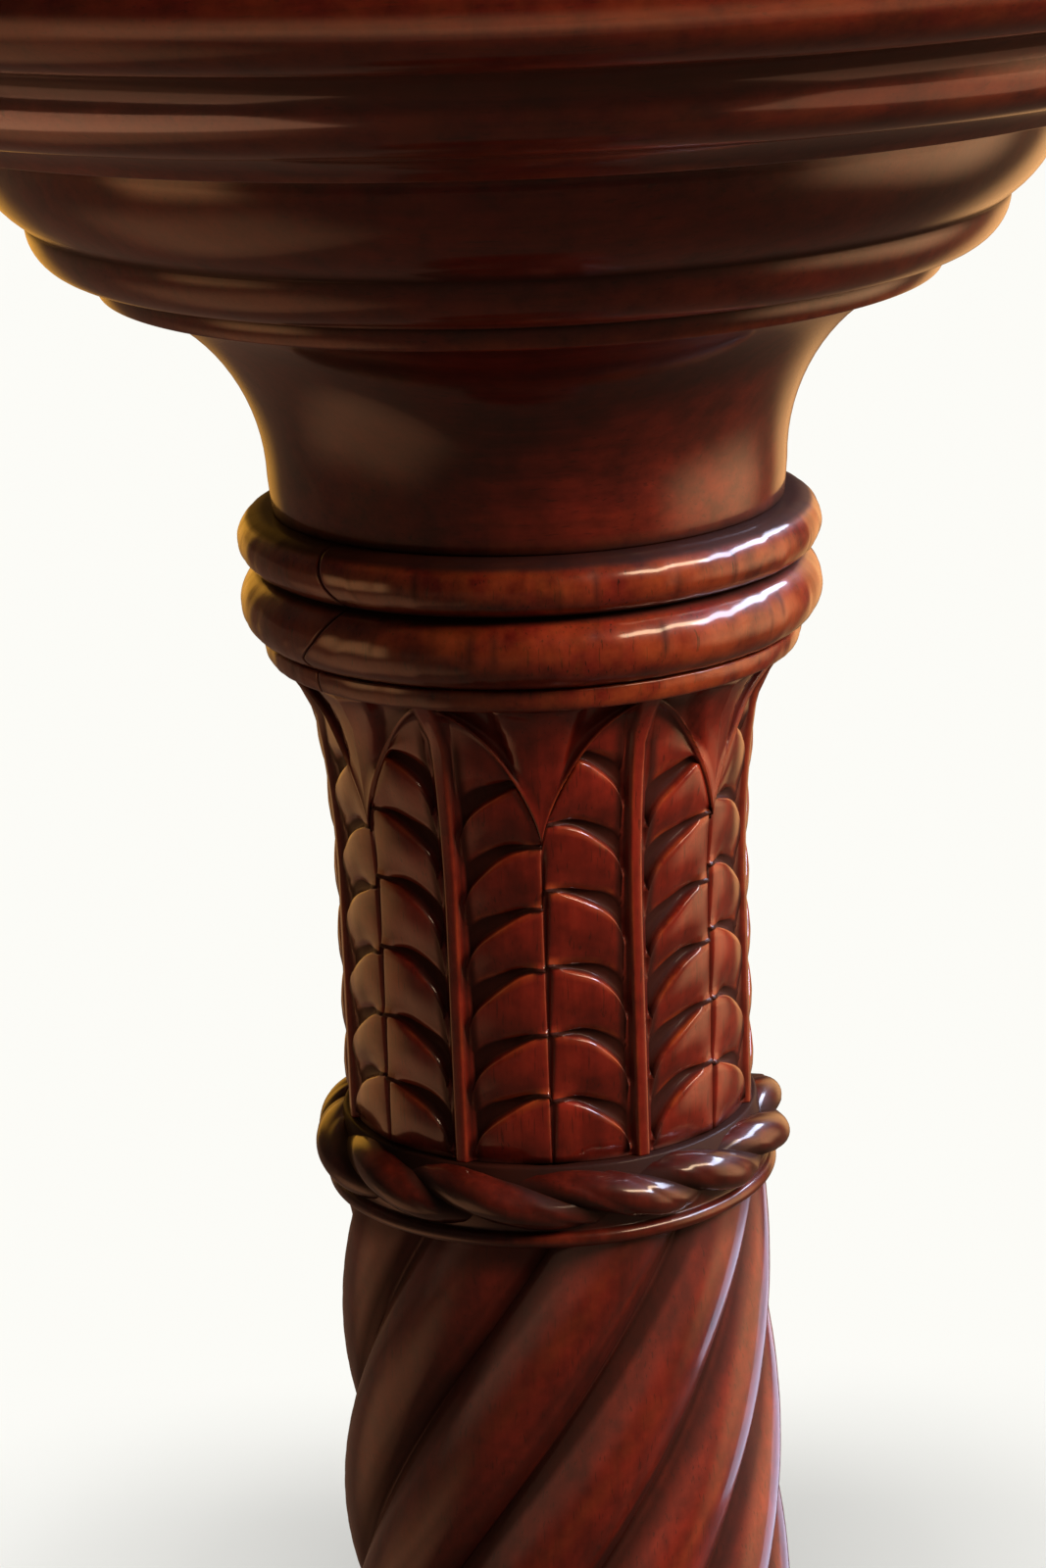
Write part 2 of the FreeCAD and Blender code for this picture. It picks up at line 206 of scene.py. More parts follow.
def run(start, end):
    """Points from start to end: the chord, plus a circle's sagitta of bulge times chord to its right.

    At share t of the half angle h the circle is at sin(t h) / sin(h) along the half chord, and stands
    off it by (cos(t h) - cos(h)) / (1 - cos(h)) of the sagitta."""
    a = np.array(start[:2], float)
    b = np.array(end[:2], float)
    chord = np.linalg.norm(b - a)
    count = max(2, int(math.ceil(chord / DRAWN_STEP)))
    t = np.linspace(-1, 1, count, endpoint=False)[:, None]
    bulge = end[2] if len(end) == 3 else 0.0
    if not bulge:
        return a + (b - a) * (t + 1) / 2
    half = 2 * math.atan(2 * abs(bulge))
    along = np.sin(t * half) / math.sin(half)
    off = (np.cos(t * half) - math.cos(half)) / (1 - math.cos(half)) * bulge
    right = np.array([b[1] - a[1], a[0] - b[0]])
    return (a + b) / 2 + (b - a) / 2 * along + right * off


def drawn(points, closed):
    """An outline of (radius, height[, bulge]) points as a dense even line."""
    ends = points[1:] + points[:1] if closed else points[1:]
    runs = [run(start, end) for start, end in zip(points, ends)]
    line = np.concatenate(runs + [np.array([(points[0] if closed else points[-1])[:2]], float)])
    steps = np.linalg.norm(np.diff(line, axis=0), axis=1)
    along = np.concatenate([[0], np.cumsum(steps)])
    even = np.linspace(0, along[-1], int(along[-1] / DRAWN_STEP) + 1)
    line = np.stack([np.interp(even, along, line[:, 0]), np.interp(even, along, line[:, 1])], 1)
    return line[:-1] if closed else line


def eased(line, spread, closed):
    """The line averaged along its length with a bell-shaped weight of that spread; its ends stay put."""
    reach_steps = int(4 * spread / DRAWN_STEP) + 1
    weight = np.exp(-0.5 * (np.arange(-reach_steps, reach_steps + 1) * DRAWN_STEP / spread) ** 2)
    weight /= weight.sum()
    if closed:
        padded = np.concatenate([line[-reach_steps:], line, line[:reach_steps]])
    else:
        before = 2 * line[0] - line[reach_steps:0:-1]
        after = 2 * line[-1] - line[-2:-reach_steps - 2:-1]
        padded = np.concatenate([before, line, after])
    return np.stack([np.convolve(padded[:, i], weight, "valid") for i in (0, 1)], 1)


def turned_line(points, closed):
    """Rows of a turned outline with worn arrises, and how hollow and how sharp the outline is at each.

    A row stands at each ROW_LENGTH or each ROW_TURN of the eased line. Its sharpness is how far it stands
    out from the line eased over ARRIS_REACH, its hollowness how far it lies in from CREVICE_REACH's. The
    last row of a closed outline, and both ends of an open one, on the axis, are left out."""
    sharp_line = drawn(points, closed)
    line = eased(sharp_line, ARRIS_WEAR, closed)
    if closed:
        tangent = np.roll(line, -1, 0) - np.roll(line, 1, 0)
    else:
        tangent = np.gradient(line, axis=0)
    heading = np.unwrap(np.arctan2(tangent[:, 1], tangent[:, 0]))
    out = np.stack([np.sin(heading), -np.cos(heading)], 1)
    stands = ((line - eased(sharp_line, ARRIS_REACH, closed)) * out).sum(1) / ARRIS_FULL
    lies = ((eased(sharp_line, CREVICE_REACH, closed) - line) * out).sum(1) / CREVICE_FULL
    turn = np.abs(np.gradient(heading)) / ROW_TURN
    rows_done = np.concatenate([[0], np.cumsum((DRAWN_STEP / ROW_LENGTH + turn)[1:])])
    rows = np.linspace(0, rows_done[-1], int(rows_done[-1]) + 2)
    rows = rows[:-1] if closed else rows[1:-1]
    picked = [np.interp(rows, rows_done, values) for values in (line[:, 0], line[:, 1], lies, stands)]
    return np.stack(picked[:2], 1), np.clip(picked[2], 0, 1), np.clip(picked[3], 0, 1)


def upended(points):
    """An outline turned upside down, still drawn with its outer side on the right."""
    flipped = []
    for index in range(len(points) - 1, -1, -1):
        radius, height = points[index][:2]
        follower = points[(index + 1) % len(points)]
        bulge = follower[2] if len(follower) == 3 else 0.0
        flipped.append((radius, -height, bulge))
    return flipped


def placed(name, data):
    """A new object in the scene, with this mesh, lamp or camera."""
    made = bpy.data.objects.new(name, data)
    bpy.context.scene.collection.objects.link(made)
    return made


def piece(name, grid, hollow, arris, ring, finish, node):
    """A closed skin on a grid of rows and columns of points in millimetres, standing for a CAD node.

    Columns run once round and meet. The rows meet as well where the piece is a ring; otherwise the first
    and the last row are each closed by a fan to their middle."""
    rows, columns = grid.shape[:2]
    index = np.arange(rows * columns).reshape(rows, columns)
    lower, upper = (index, np.roll(index, -1, 0)) if ring else (index[:-1], index[1:])
    quads = np.stack([lower, np.roll(lower, -1, 1), np.roll(upper, -1, 1), upper], -1).reshape(-1, 4)
    points = grid.reshape(-1, 3)
    marks = [hollow.reshape(-1), arris.reshape(-1)]
    fans = np.zeros((0, 3), int)
    if not ring:
        foot, head = len(points), len(points) + 1
        points = np.concatenate([points, [grid[0].mean(0), grid[-1].mean(0)]])
        marks = [np.concatenate([mark, [0, 0]]) for mark in marks]
        first, last = index[0], index[-1]
        fans = np.concatenate([
            np.stack([np.full(columns, foot), np.roll(first, -1), first], 1),
            np.stack([np.full(columns, head), last, np.roll(last, -1)], 1)])
    corners = np.concatenate([quads.ravel(), fans.ravel()])
    starts = np.concatenate([np.arange(len(quads)) * 4, len(quads) * 4 + np.arange(len(fans)) * 3])
    mesh = bpy.data.meshes.new(name)
    mesh.vertices.add(len(points))
    mesh.vertices.foreach_set("co", (points * MM).astype(np.float32).ravel())
    mesh.loops.add(len(corners))
    mesh.loops.foreach_set("vertex_index", corners.astype(np.int32))
    mesh.polygons.add(len(starts))
    mesh.polygons.foreach_set("loop_start", starts.astype(np.int32))
    mesh.update(calc_edges=True)
    mesh.validate()
    mesh.shade_smooth()
    for label, mark in zip(("hollow", "arris"), marks):
        mesh.attributes.new(label, "FLOAT", "POINT").data.foreach_set("value", mark.astype(np.float32))
    mesh.materials.append(finish)
    made = placed(name, mesh)
    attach(made, "root")
    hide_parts(node)


def around(radius, angle, height):
    """Points at a radius, an angle from the front and a height: X by the sine, minus Y by the cosine."""
    return np.stack(np.broadcast_arrays(radius * np.sin(angle), -radius * np.cos(angle), height), -1)


def turn_angles(count=COLUMNS):
    """Angles of evenly spaced columns."""
    return np.arange(count) * FULL_TURN / count


def smooth(value, start, end):
    """0 before start, 1 after end, and between them the S-curve 3 t ** 2 - 2 t ** 3 of the share t."""
    t = np.clip((value - start) / (end - start), 0, 1)
    return t * t * (3 - 2 * t)


def turned(name, points, lift, finish, node, ring=True, centre=(0.0, 0.0),
           wax_and_shade=None, worn=1.0):
    """A turned piece: its outline's rows carried round the axis, lifted to its place.

    Old wax and painted shade darken it from the first to the second of the given heights above or below its
    foot, and worn is the share of the usual wear on its arrises."""
    line, hollow, arris = turned_line(points, closed=ring)
    if wax_and_shade:
        hollow = np.maximum(hollow, smooth(np.abs(line[:, 1]), *wax_and_shade))
    grid = around(line[:, :1], turn_angles(), line[:, 1:] + lift)
    grid = grid + np.array([*centre, 0.0])
    same = np.ones((1, COLUMNS))
    piece(name, grid, hollow[:, None] * same, worn * arris[:, None] * same, ring, finish, node)


# Turned outlines

def top_board_outline():
    """Round top with a thumb-moulded rim, tight below and wide above."""
    rim = reach("top_board")
    upper = TOP_THICKNESS - TOP_ROLL_HEIGHT
    return [(0, 0), (MOULDING_HEAD_RADIUS, 0),
            (rim, TOP_ROLL_HEIGHT, upright_bulge(rim - MOULDING_HEAD_RADIUS, TOP_ROLL_HEIGHT)),
            (rim - TOP_ROLL_WIDTH, TOP_THICKNESS, upright_bulge(TOP_ROLL_WIDTH, upper)), (0, TOP_THICKNESS)]


def moulding_outline():
    """Ring moulding: hollow, roll, quirk and cove; its soffit is sunk so that the screw heads show."""
    outside = stacked((MOULDING_FOOT_RADIUS, 0), MOULDING_MEMBERS)
    soffit = [(MOULDING_BORE, SOFFIT_RECESS), (MOULDING_FOOT_RADIUS - SOFFIT_SLOPE, SOFFIT_RECESS)]
    return soffit + outside + [(MOULDING_BORE, MOULDING_HEIGHT)]


def boss_outline():
    """Boss: fillet, ledge, ovolo, step, tall ovolo and cove."""
    return [(BOSS_BORE, 0)] + stacked((BOSS_FOOT_RADIUS, 0), BOSS_MEMBERS) + [(BOSS_BORE, BOSS_HEIGHT)]


def bell_outline():
    """Concave bell with its through tenon on top."""
    flare = upright_bulge(BELL_HEAD_RADIUS - BELL_WAIST_RADIUS, BELL_HEIGHT - BELL_FOOT_HEIGHT)
    tenon = BOSS_BORE - TENON_CLEARANCE
    return [(0, 0), (BELL_FOOT_RADIUS, 0), (BELL_WAIST_RADIUS, BELL_FOOT_HEIGHT),
            (BELL_HEAD_RADIUS, BELL_HEIGHT, -flare), (tenon, BELL_HEIGHT),
            (tenon, BELL_HEIGHT + BOSS_HEIGHT), (0, BELL_HEIGHT + BOSS_HEIGHT)]


def neck_ring_outline():
    """Fillet and rings above the leaves, from the head of the carved field."""
    return [(0, 0), (FILLET_RADIUS - FILLET_SLOPE, 0), (FILLET_RADIUS, FILLET_HEIGHT, SOFT_ROUND)] + stacked(
        (RING_GROOVE_RADIUS, FILLET_HEIGHT), RING_MEMBERS) + [(0, FILLET_HEIGHT + RING_HEIGHT)]


def base_ring_outline():
    """The rings above the base's bell, bored for the shaft's tenon."""
    return [(TENON_BORE, 0)] + stacked((RING_GROOVE_RADIUS, 0), RING_MEMBERS) + [(TENON_BORE, RING_HEIGHT)]


def plinth_outline():
    """Plinth with a bullnose edge; its underside is sunk in the middle so that the screw heads show."""
    edge = reach("base_plinth") - PLINTH_THICKNESS / 2
    sunk = FOOT_CIRCLE - FOOT_RADIUS
    return [(0, SOFFIT_RECESS), (sunk - SOFFIT_SLOPE, SOFFIT_RECESS), (sunk, 0), (edge, 0),
            (edge, PLINTH_THICKNESS, HALF_ROUND), (0, PLINTH_THICKNESS)]


def foot_outline():
    """Bun foot with its spigot."""
    belly = upright_bulge(FOOT_RADIUS - FOOT_SOLE, FOOT_BELLY)
    shoulder = upright_bulge(FOOT_RADIUS - FOOT_NECK_RADIUS, FOOT_NECK - FOOT_BELLY)
    top = Z_FOOT_TOP + FOOT_SPIGOT_LENGTH
    bun = [(0, 0), (FOOT_SOLE, 0), (FOOT_RADIUS, FOOT_BELLY, belly), (FOOT_NECK_RADIUS, FOOT_NECK, shoulder)]
    return bun + [(FOOT_HEAD_RADIUS, Z_FOOT_TOP), (FOOT_SPIGOT_RADIUS, Z_FOOT_TOP),
                  (FOOT_SPIGOT_RADIUS, top), (0, top)]


# Carved pieces

def field_radius(z):
    """Radius of the neck's outer face: straight, then a slow parabola, then a hollow flare to the fillet."""
    flare_foot = FIELD_TOP - FLARE_HEIGHT
    rise = np.clip((z - flare_foot + SPREAD_HEIGHT) / SPREAD_HEIGHT, 0, 1)
    flare = np.clip((z - flare_foot) / FLARE_HEIGHT, 0, 1)
    hollow = FLARE_HOLLOW * FLARE_HEIGHT * flare * (1 - flare)
    spread = (SPREAD_RADIUS - NECK_RADIUS) * rise ** 2
    return NECK_RADIUS + spread + (FLARE_RADIUS - SPREAD_RADIUS) * flare - hollow


# Across half a leaf, from the middle of its rib: the rib's edge, the groove beside it and the lobes
RIB_EDGE = 1.25
RIB_GROOVE = 2.1
LOBE_START = 3.1
LOBE_END = 19.45
LOBE_COLUMNS = 28
BESIDE_JOINT = (1.5, 1.1, 0.75, 0.45, 0.2)

# Depths and widths of the carving
GROOVE_DEPTH = 3.0
CRESCENT_WIDTH = 8.5
CRESCENT_END_WIDTH = 0.8
LOBE_FOOT_DEPTH = 1.4
LOBE_CROWN = 0.9
LOBE_FALL = 0.5
RIB_DEPTH = 1.0
SPANDREL_DEPTH = 2.9
DART_WIDTH = 7.0
DART_DEPTH = 0.4
EDGE_BEVEL = 0.28
CUT_WIDTH = 1.3
CUT_END_WIDTH = 0.3
CUT_DEPTH = 0.65
CUT_RIGHT_SHARE = 0.15
FOOT_GAP = 2.4
RIB_GROOVE_DEPTH = 1.5
ARCH_GAP = 0.9
EDGE_SLIP = 0.45
EDGE_WAVER = 0.22

# Where rows stand, as shares of a lobe's face, of the leaf's head and of the spandrel
FACE_ROWS = (0.12, 0.3, 0.5, 0.7, 0.86, 0.965)
HEAD_ROWS = (0.2, 0.5, 0.8, 0.95)
SPANDREL_ROWS = (0.05, 0.1, 0.25, 0.45, 0.7, 0.9, 1.0)

# Darkness in the hollows, old wax and painted shade; rubbing on the rib's edge; painted highlight on the
# V-cut
LOBE_FOOT_WAX_AND_SHADE = 0.5
SPANDREL_WAX_AND_SHADE = 0.65
RIB_GROOVE_WAX_AND_SHADE = 0.75
BESIDE_RIB_WAX_AND_SHADE = 0.92
CUT_WAX_AND_SHADE = 0.6
RIB_RUBBED = 0.55
CUT_EDGE_HIGHLIGHT = 0.5


def leaf_carving(finish):
    """The neck's leaves as depths below its outer face, on a grid that follows the edges of the lobes.

    Across half a leaf, p goes from 0 at the rib to 1 at the joint with the next leaf as 1 - cos(u). The
    top edge of tier k lies at pitch times k plus rise times (1 - (1 - p) ** n) ** (1 / n). Above each edge
    a wall drops into a crescent that narrows towards the joint, and the next lobe's face climbs out of it
    to full height at its own bevelled edge. Between two leaves runs a V-cut that opens under each edge and
    closes towards the foot of the lobe. The head of the leaf is a pointed arch, rise times
    (1 - p ** n) ** (1 / n), with a sunk spandrel above it that meets its neighbour in a raised dart."""
    half_pitch = NECK_RADIUS * np.pi / LEAVES
    u = np.linspace(0, np.pi / 2, LOBE_COLUMNS)
    lobe = LOBE_START + (half_pitch - 2.0 - LOBE_START) * (1 - np.cos(u))
    rib = np.array([0.0, 0.7, RIB_EDGE - 0.25, RIB_EDGE, (RIB_EDGE + RIB_GROOVE) / 2, RIB_GROOVE, 2.6])
    beside_joint = half_pitch - np.array(BESIDE_JOINT)
    across = np.concatenate([rib, lobe, beside_joint])
    p = np.clip((across - LOBE_START) / (LOBE_END - LOBE_START), 0, 1)
    across_leaf = np.concatenate([[half_pitch], across[:0:-1], across])
    side = np.concatenate([-np.ones(len(across)), np.ones(len(across))])
    p = np.concatenate([[1.0], p[:0:-1], p])
    columns = len(across_leaf)

    hand = np.random.default_rng(11)
    leaf_of = np.repeat(np.arange(LEAVES), columns)
    angle = np.tile(side * across_leaf, LEAVES) / NECK_RADIUS + (leaf_of + 0.5) * FULL_TURN / LEAVES
    right_half = np.tile(side, LEAVES) > 0
    half_of = 2 * leaf_of + right_half
    across_all = np.tile(across_leaf, LEAVES)
    p = np.tile(p, LEAVES)
    power = np.where(right_half, EDGE_POWER[1], EDGE_POWER[0])
    lift = (1 - (1 - p) ** power) ** (1 / power)
    first = np.where(right_half, FIRST_TIER[1], FIRST_TIER[0])
    pitch = np.where(right_half, TIER_PITCH[1], TIER_PITCH[0])
    slips = hand.normal(0, EDGE_SLIP, (TIERS, 2 * LEAVES))
    wavers = hand.uniform(0, FULL_TURN, (TIERS, 2 * LEAVES))

    on_lobe = smooth(across_all, RIB_GROOVE, LOBE_START)
    arch_share = np.clip(across_all / half_pitch, 0, 1)
    arch = FIELD_TOP - ARCH_RISE + ARCH_RISE * (1 - arch_share ** ARCH_POWER) ** (1 / ARCH_POWER)
    arch = np.minimum(arch, FIELD_TOP - ARCH_GAP)
    crescent = CRESCENT_END_WIDTH + (CRESCENT_WIDTH - CRESCENT_END_WIDTH) * (1 - lift) ** 0.85
    wall = 0.2 + 0.8 * smooth(1 - p, 0.0, 0.4)
    foot_depth = LOBE_FOOT_DEPTH * (0.3 + 0.7 * smooth(1 - p, 0.0, 0.5))
    fall = LOBE_FALL * ((1 - p) ** 1.6 + 0.3 * p ** 6)

    off_joint = half_pitch - across_all
    heights, depths, hollows, arrises, cuts = [], [], [], [], []

    def row(height, depth, hollow, arris, open_share=0.0):
        """One line round the neck: its height, how deep it lies, its marks and how far the V-cut is open."""
        full = np.ones_like(across_all)
        width = CUT_END_WIDTH + CUT_WIDTH * open_share * np.where(right_half, CUT_RIGHT_SHARE, 1.0)
        for rows, value in zip((heights, depths, hollows, arrises, cuts),
                               (height, depth, hollow, arris, smooth(off_joint, width, 0.3 * width))):
            rows.append(full * value)

    def face(start, end):
        """A lobe's face: it climbs from its foot's depth to full height, and falls away to the rib. Its lower
        part is darker, old wax and painted shade from the crescent below.
        """
        for share in FACE_ROWS:
            crown = LOBE_CROWN * (math.sin(math.pi * share) * np.sin(np.pi * p) - 1)
            row(start + (end - start) * share, foot_depth * (1 - share) + fall - crown,
                LOBE_FOOT_WAX_AND_SHADE * (1 - share) ** 2 * (1 - 0.6 * p), 0.5 * smooth(share, 0.9, 0.96), share)

    def edge(start, end):
        """A lobe's bevelled top edge, the wall behind it, the crescent and the arris under the next face. The
        crescent is darkened, old wax and painted shade; the top edge and the arris under the next face are
        paler, rubbed wear and painted highlight.
        """
        room = np.minimum(crescent, 0.7 * (end - start))
        deep = GROOVE_DEPTH * wall + 0.6 * fall
        rim = fall + LOBE_CROWN
        row(start, rim + EDGE_BEVEL * smooth(p, 0.1, 0.35), 0.0, 1.0, 1.0)
        row(start + 0.1 * room, 0.45 * rim + 0.55 * deep, 0.7, 0.2, 0.4)
        row(start + 0.2 * room, deep, 1.0, 0.0)
        row(start + 0.5 * room, 0.97 * deep, 1.0, 0.0)
        row(start + 0.85 * room, 0.6 * deep + 0.4 * (foot_depth + rim), 1.0, 0.0)
        row(start + room, foot_depth + rim - 0.2, 0.1, 0.9)
        return start + room

    # Foot of the leaves on the rope: painted dark in the gap, old wax and painted shade
    row(0.0, FOOT_GAP, 1.0, 0.0)
    row(0.25, FOOT_GAP, 1.0, 0.0)
    foot = np.full_like(across_all, 0.6)
    row(foot, foot_depth + fall + LOBE_CROWN, 0.8, 0.0)
    for tier in range(TIERS):
        waver = EDGE_WAVER * np.sin(2.5 * np.pi * p + wavers[tier][half_of])
        top = first + pitch * tier - TIER_RISE * (1 - lift) + slips[tier][half_of] + waver
        top = np.minimum(top, arch - 1.0 - 0.02 * (TIERS - tier))
        top = np.maximum(top, foot + 1.2)
        face(foot, top)
        foot = edge(top, np.minimum(top + pitch, arch))
    # The leaf's head darkens towards the arch: painted shade under its raised limb
    for share in HEAD_ROWS:
        row(foot + (arch - foot) * share, foot_depth + 0.5 * share + 0.5 * fall, 0.55 * share ** 3, 0.0)
    row(arch, 0.3, 0.0, 1.0)
    # Spandrel: the sunk grooves beside the dart are darkened, old wax and painted shade
    for share in SPANDREL_ROWS:
        height = arch + (FIELD_TOP - arch) * share
        dart = 0.4 + DART_WIDTH * np.clip((height - FIELD_TOP + ARCH_RISE) / ARCH_RISE, 0, 1)
        beside = smooth(off_joint, dart, dart + 1.6)
        depth = DART_DEPTH * (1 + np.clip(off_joint / dart, 0, 1))
        depth = depth + (SPANDREL_DEPTH - 2 * DART_DEPTH) * beside
        row(height, depth * smooth(share, 0, 0.1), SPANDREL_WAX_AND_SHADE * beside * smooth(share, 1.0, 0.3), 0.0)

    z = np.array(heights)
    below_head = smooth(z, FIELD_TOP - 4, FIELD_TOP - 10)
    depth = np.array(depths) * on_lobe + RIB_DEPTH * (1 - on_lobe) * below_head
    hollow = np.array(hollows) * on_lobe
    arris = np.array(arrises) * on_lobe
    # The groove beside the rib and the lobes' ends next to it are darkened: old wax and painted shade
    rib_groove = np.exp(-((across_all - RIB_GROOVE) / 0.6) ** 2)
    depth = depth + RIB_GROOVE_DEPTH * rib_groove * (0.25 + 0.75 * below_head)
    hollow = np.maximum(hollow, RIB_GROOVE_WAX_AND_SHADE * rib_groove)
    beside_rib = smooth(across_all, LOBE_START + 2.4, LOBE_START + 0.5) * on_lobe
    hollow = np.maximum(hollow, BESIDE_RIB_WAX_AND_SHADE * beside_rib * below_head)
    arris = arris * (1 - beside_rib)
    rib_edge = np.exp(-((across_all - RIB_EDGE + 0.1) / 0.3) ** 2)
    arris = np.maximum(arris, RIB_RUBBED * rib_edge)
    below_dart = smooth(z, FIELD_TOP - ARCH_RISE + 2, FIELD_TOP - ARCH_RISE - 6)
    # The V-cut between the leaves is darkened, old wax and painted shade; its left edge, on the lit side, is
    # paler as a painted highlight
    cut = np.array(cuts) * below_dart
    depth = depth + CUT_DEPTH * cut
    hollow = np.maximum(hollow, CUT_WAX_AND_SHADE * cut)
    cut_edge = np.exp(-((off_joint - 0.6) / 0.3) ** 2) * right_half
    arris = np.maximum(arris, CUT_EDGE_HIGHLIGHT * cut_edge * below_dart)
    radius = field_radius(z) - depth
    grid = around(radius, angle, z + Z_NECK)
    piece("leaf_carving", grid, hollow, arris, False, finish, "carved_neck")


# Shrinkage crack through both rings, on the left: how far it turns, in degrees, at heights above the leaves
CRACK_ANGLE = math.radians(-46.0)
CRACK_HEIGHTS = (8.0, 12.0, 17.5, 20.0, 24.5, 30.0)
CRACK_TURNS = (-5.5, -1.0, 3.5, 6.0, 2.5, 0.0)
CRACK_WIDTH = 0.4
CRACK_DEPTH = 0.9
CRACK_DRAG = 0.22

# Short ticks of old wax on the rings
TICKS = 40
TICK_WIDTH = 0.7
TICK_LENGTH = 3.4
TICK_SCATTER = 2.0
TICK_TONES = (0.3, 0.85)
LEAST_GAP = 0.01


def neck_rings(finish):
    """Fillet and rings as a turned grid whose columns crowd at the crack and zigzag with it.

    Short upright ticks of old wax, each a bell curve across and a flatter one along, mark both rings, and
    slow waves of the radius round the axis, a few hundredths of a millimetre high, break up the gloss."""
    line, hollow, arris = turned_line(neck_ring_outline(), closed=False)
    head = FILLET_HEIGHT + RING_HEIGHT
    # Darker under the bell's foot and in the quirk between the rings: old wax and painted shade in the
    # grooves
    hollow = np.maximum(hollow, smooth(line[:, 1], head - 2.2, head - 1.0))
    quirk = FILLET_HEIGHT + LARGE_RING_HEIGHT
    hollow = np.maximum(hollow, smooth(np.abs(line[:, 1] - quirk), 1.5, 0.6))
    hand = np.random.default_rng(5)
    ticks = (np.arange(TICKS) + hand.uniform(0.1, 0.9, TICKS)) * FULL_TURN / TICKS - np.pi
    ticks = ticks[np.abs(ticks - CRACK_ANGLE) > 0.1]
    ring_middles = [0.55 * LARGE_RING_HEIGHT, LARGE_RING_HEIGHT + 0.45 * SMALL_RING_HEIGHT]
    tick_heights = FILLET_HEIGHT + hand.choice(ring_middles, len(ticks))
    tick_heights = tick_heights + hand.uniform(-TICK_SCATTER, TICK_SCATTER, len(ticks))
    tick_tones = hand.uniform(*TICK_TONES, len(ticks))
    beside_crack = np.array([-3, -2, -1, -0.5, 0, 0.5, 1, 2, 3]) * CRACK_WIDTH / RING_GROOVE_RADIUS
    beside_tick = np.array([-1.5, -0.7, 0, 0.7, 1.5]) * TICK_WIDTH / RING_GROOVE_RADIUS
    placed = np.concatenate([CRACK_ANGLE + beside_crack, (ticks[:, None] + beside_tick).ravel()])
    even = turn_angles() - np.pi
    even = even[np.abs(even[:, None] - placed).min(1) > LEAST_GAP]
    angle = np.sort(np.concatenate([even, placed]))
    z = line[:, 1:]
    wander = np.radians(np.interp(z, CRACK_HEIGHTS, CRACK_TURNS))
    near = np.exp(-((angle - CRACK_ANGLE) / CRACK_DRAG) ** 2)
    open_at = np.clip(1 - np.abs(angle - CRACK_ANGLE) * RING_GROOVE_RADIUS / CRACK_WIDTH, 0, 1)
    outside = smooth(line[:, :1], RING_GROOVE_RADIUS - 6, RING_GROOVE_RADIUS - 2)
    on_ring = smooth(line[:, :1], RING_GROOVE_RADIUS, RING_GROOVE_RADIUS + 3)
    deep = open_at * outside * (0.45 + 0.55 * on_ring)
    waves = 0.05 * np.sin(23 * angle + z / 3) + 0.04 * np.sin(41 * angle - z / 2) + 0.03 * np.sin(67 * angle)
    radius = line[:, :1] - CRACK_DEPTH * deep - outside * (0.12 + waves)
    grid = around(radius, angle + wander * near, z + Z_NECK + FIELD_TOP)
    hollow = np.maximum(hollow[:, None], deep ** 0.5)
    for tick, height, tone in zip(ticks, tick_heights, tick_tones):
        across = np.exp(-((angle - tick) * RING_GROOVE_RADIUS / TICK_WIDTH) ** 2)
        hollow = np.maximum(hollow, tone * across * np.exp(-((z - height) / TICK_LENGTH) ** 4))
    arris = arris[:, None] * np.ones_like(angle)
    piece("neck_rings", grid, hollow, arris, False, finish, "carved_neck")


def rope_collar(name, foot, up, finish, node):
    """A ring of two-stranded rope: rows follow the strands, turning half a turn in each crossing.

    The section is two overlapping circles: at angle b from a crease its reach is
    c |sin b| + sqrt(q ** 2 - (c cos b) ** 2), with q + c = 1. Slow waves round the ring wear the crowns
    of the strands down and make their turn uneven."""
    crease = 1 - ROPE_GROOVE / ROPE_HALF_WIDTH
    c = (1 - crease ** 2) / 2
    strand = np.pi * (0.5 - 0.5 * np.cos(np.linspace(0, np.pi, ROPE_ROWS + 1)[:-1]))
    b = np.concatenate([strand, np.pi + strand])[:, None]
    angle = turn_angles(ROPE_CROSSINGS * ROPE_COLUMNS)
    stretch = 1 - 0.05 * (1 + np.sin(3 * angle + 0.7)) - 0.04 * (1 + np.sin(7 * angle))
    section = c * np.abs(np.sin(b)) + np.sqrt((1 - c) ** 2 - (c * np.cos(b)) ** 2)
    section = section * np.where(section > ROPE_CROWN, stretch, 1.0) ** 0.5
    uneven = 0.2 * np.sin(2 * angle + 1) + 0.15 * np.sin(5 * angle)
    turn = uneven - (angle - ROPE_FIRST_ANGLE) * ROPE_CROSSINGS / 2
    radius = ROPE_CENTRE_RADIUS + ROPE_HALF_WIDTH * section * np.cos(b + turn)
    height = ROPE_CENTRE_HEIGHT + ROPE_HALF_HEIGHT * section * np.sin(b + turn)
    # Darker into the creases between the strands: old wax and painted shade
    hollow = 0.2 + 0.8 * smooth(section, crease + 0.24, crease + 0.05)
    arris = 0.8 * smooth(section, 0.97, 1.0)
    grid = around(radius, angle, foot + up * height)[:, ::up]
    piece(name + "_rope", grid, hollow[:, ::up], arris[:, ::up], True, finish, node)


def collar_band(name, foot, up, finish, node):
    """The band inside the rope, with its bead and the shallow ground that the strands are carved from."""
    bead_foot = BEAD_RADIUS - BEAD_HEIGHT / 2
    points = [(TENON_BORE, 0), (bead_foot, 0), (bead_foot, BEAD_HEIGHT, HALF_ROUND),
              (ROPE_GROUND_RADIUS, ROPE_GROUND_HEIGHT), (ROPE_CENTRE_RADIUS, COLLAR_HEIGHT),
              (TENON_BORE, COLLAR_HEIGHT)]
    if up < 0:
        points = upended(points)
    turned(name + "_band", points, foot, finish, node, wax_and_shade=COLLAR_WAX_AND_SHADE,
           worn=COLLAR_WORN)


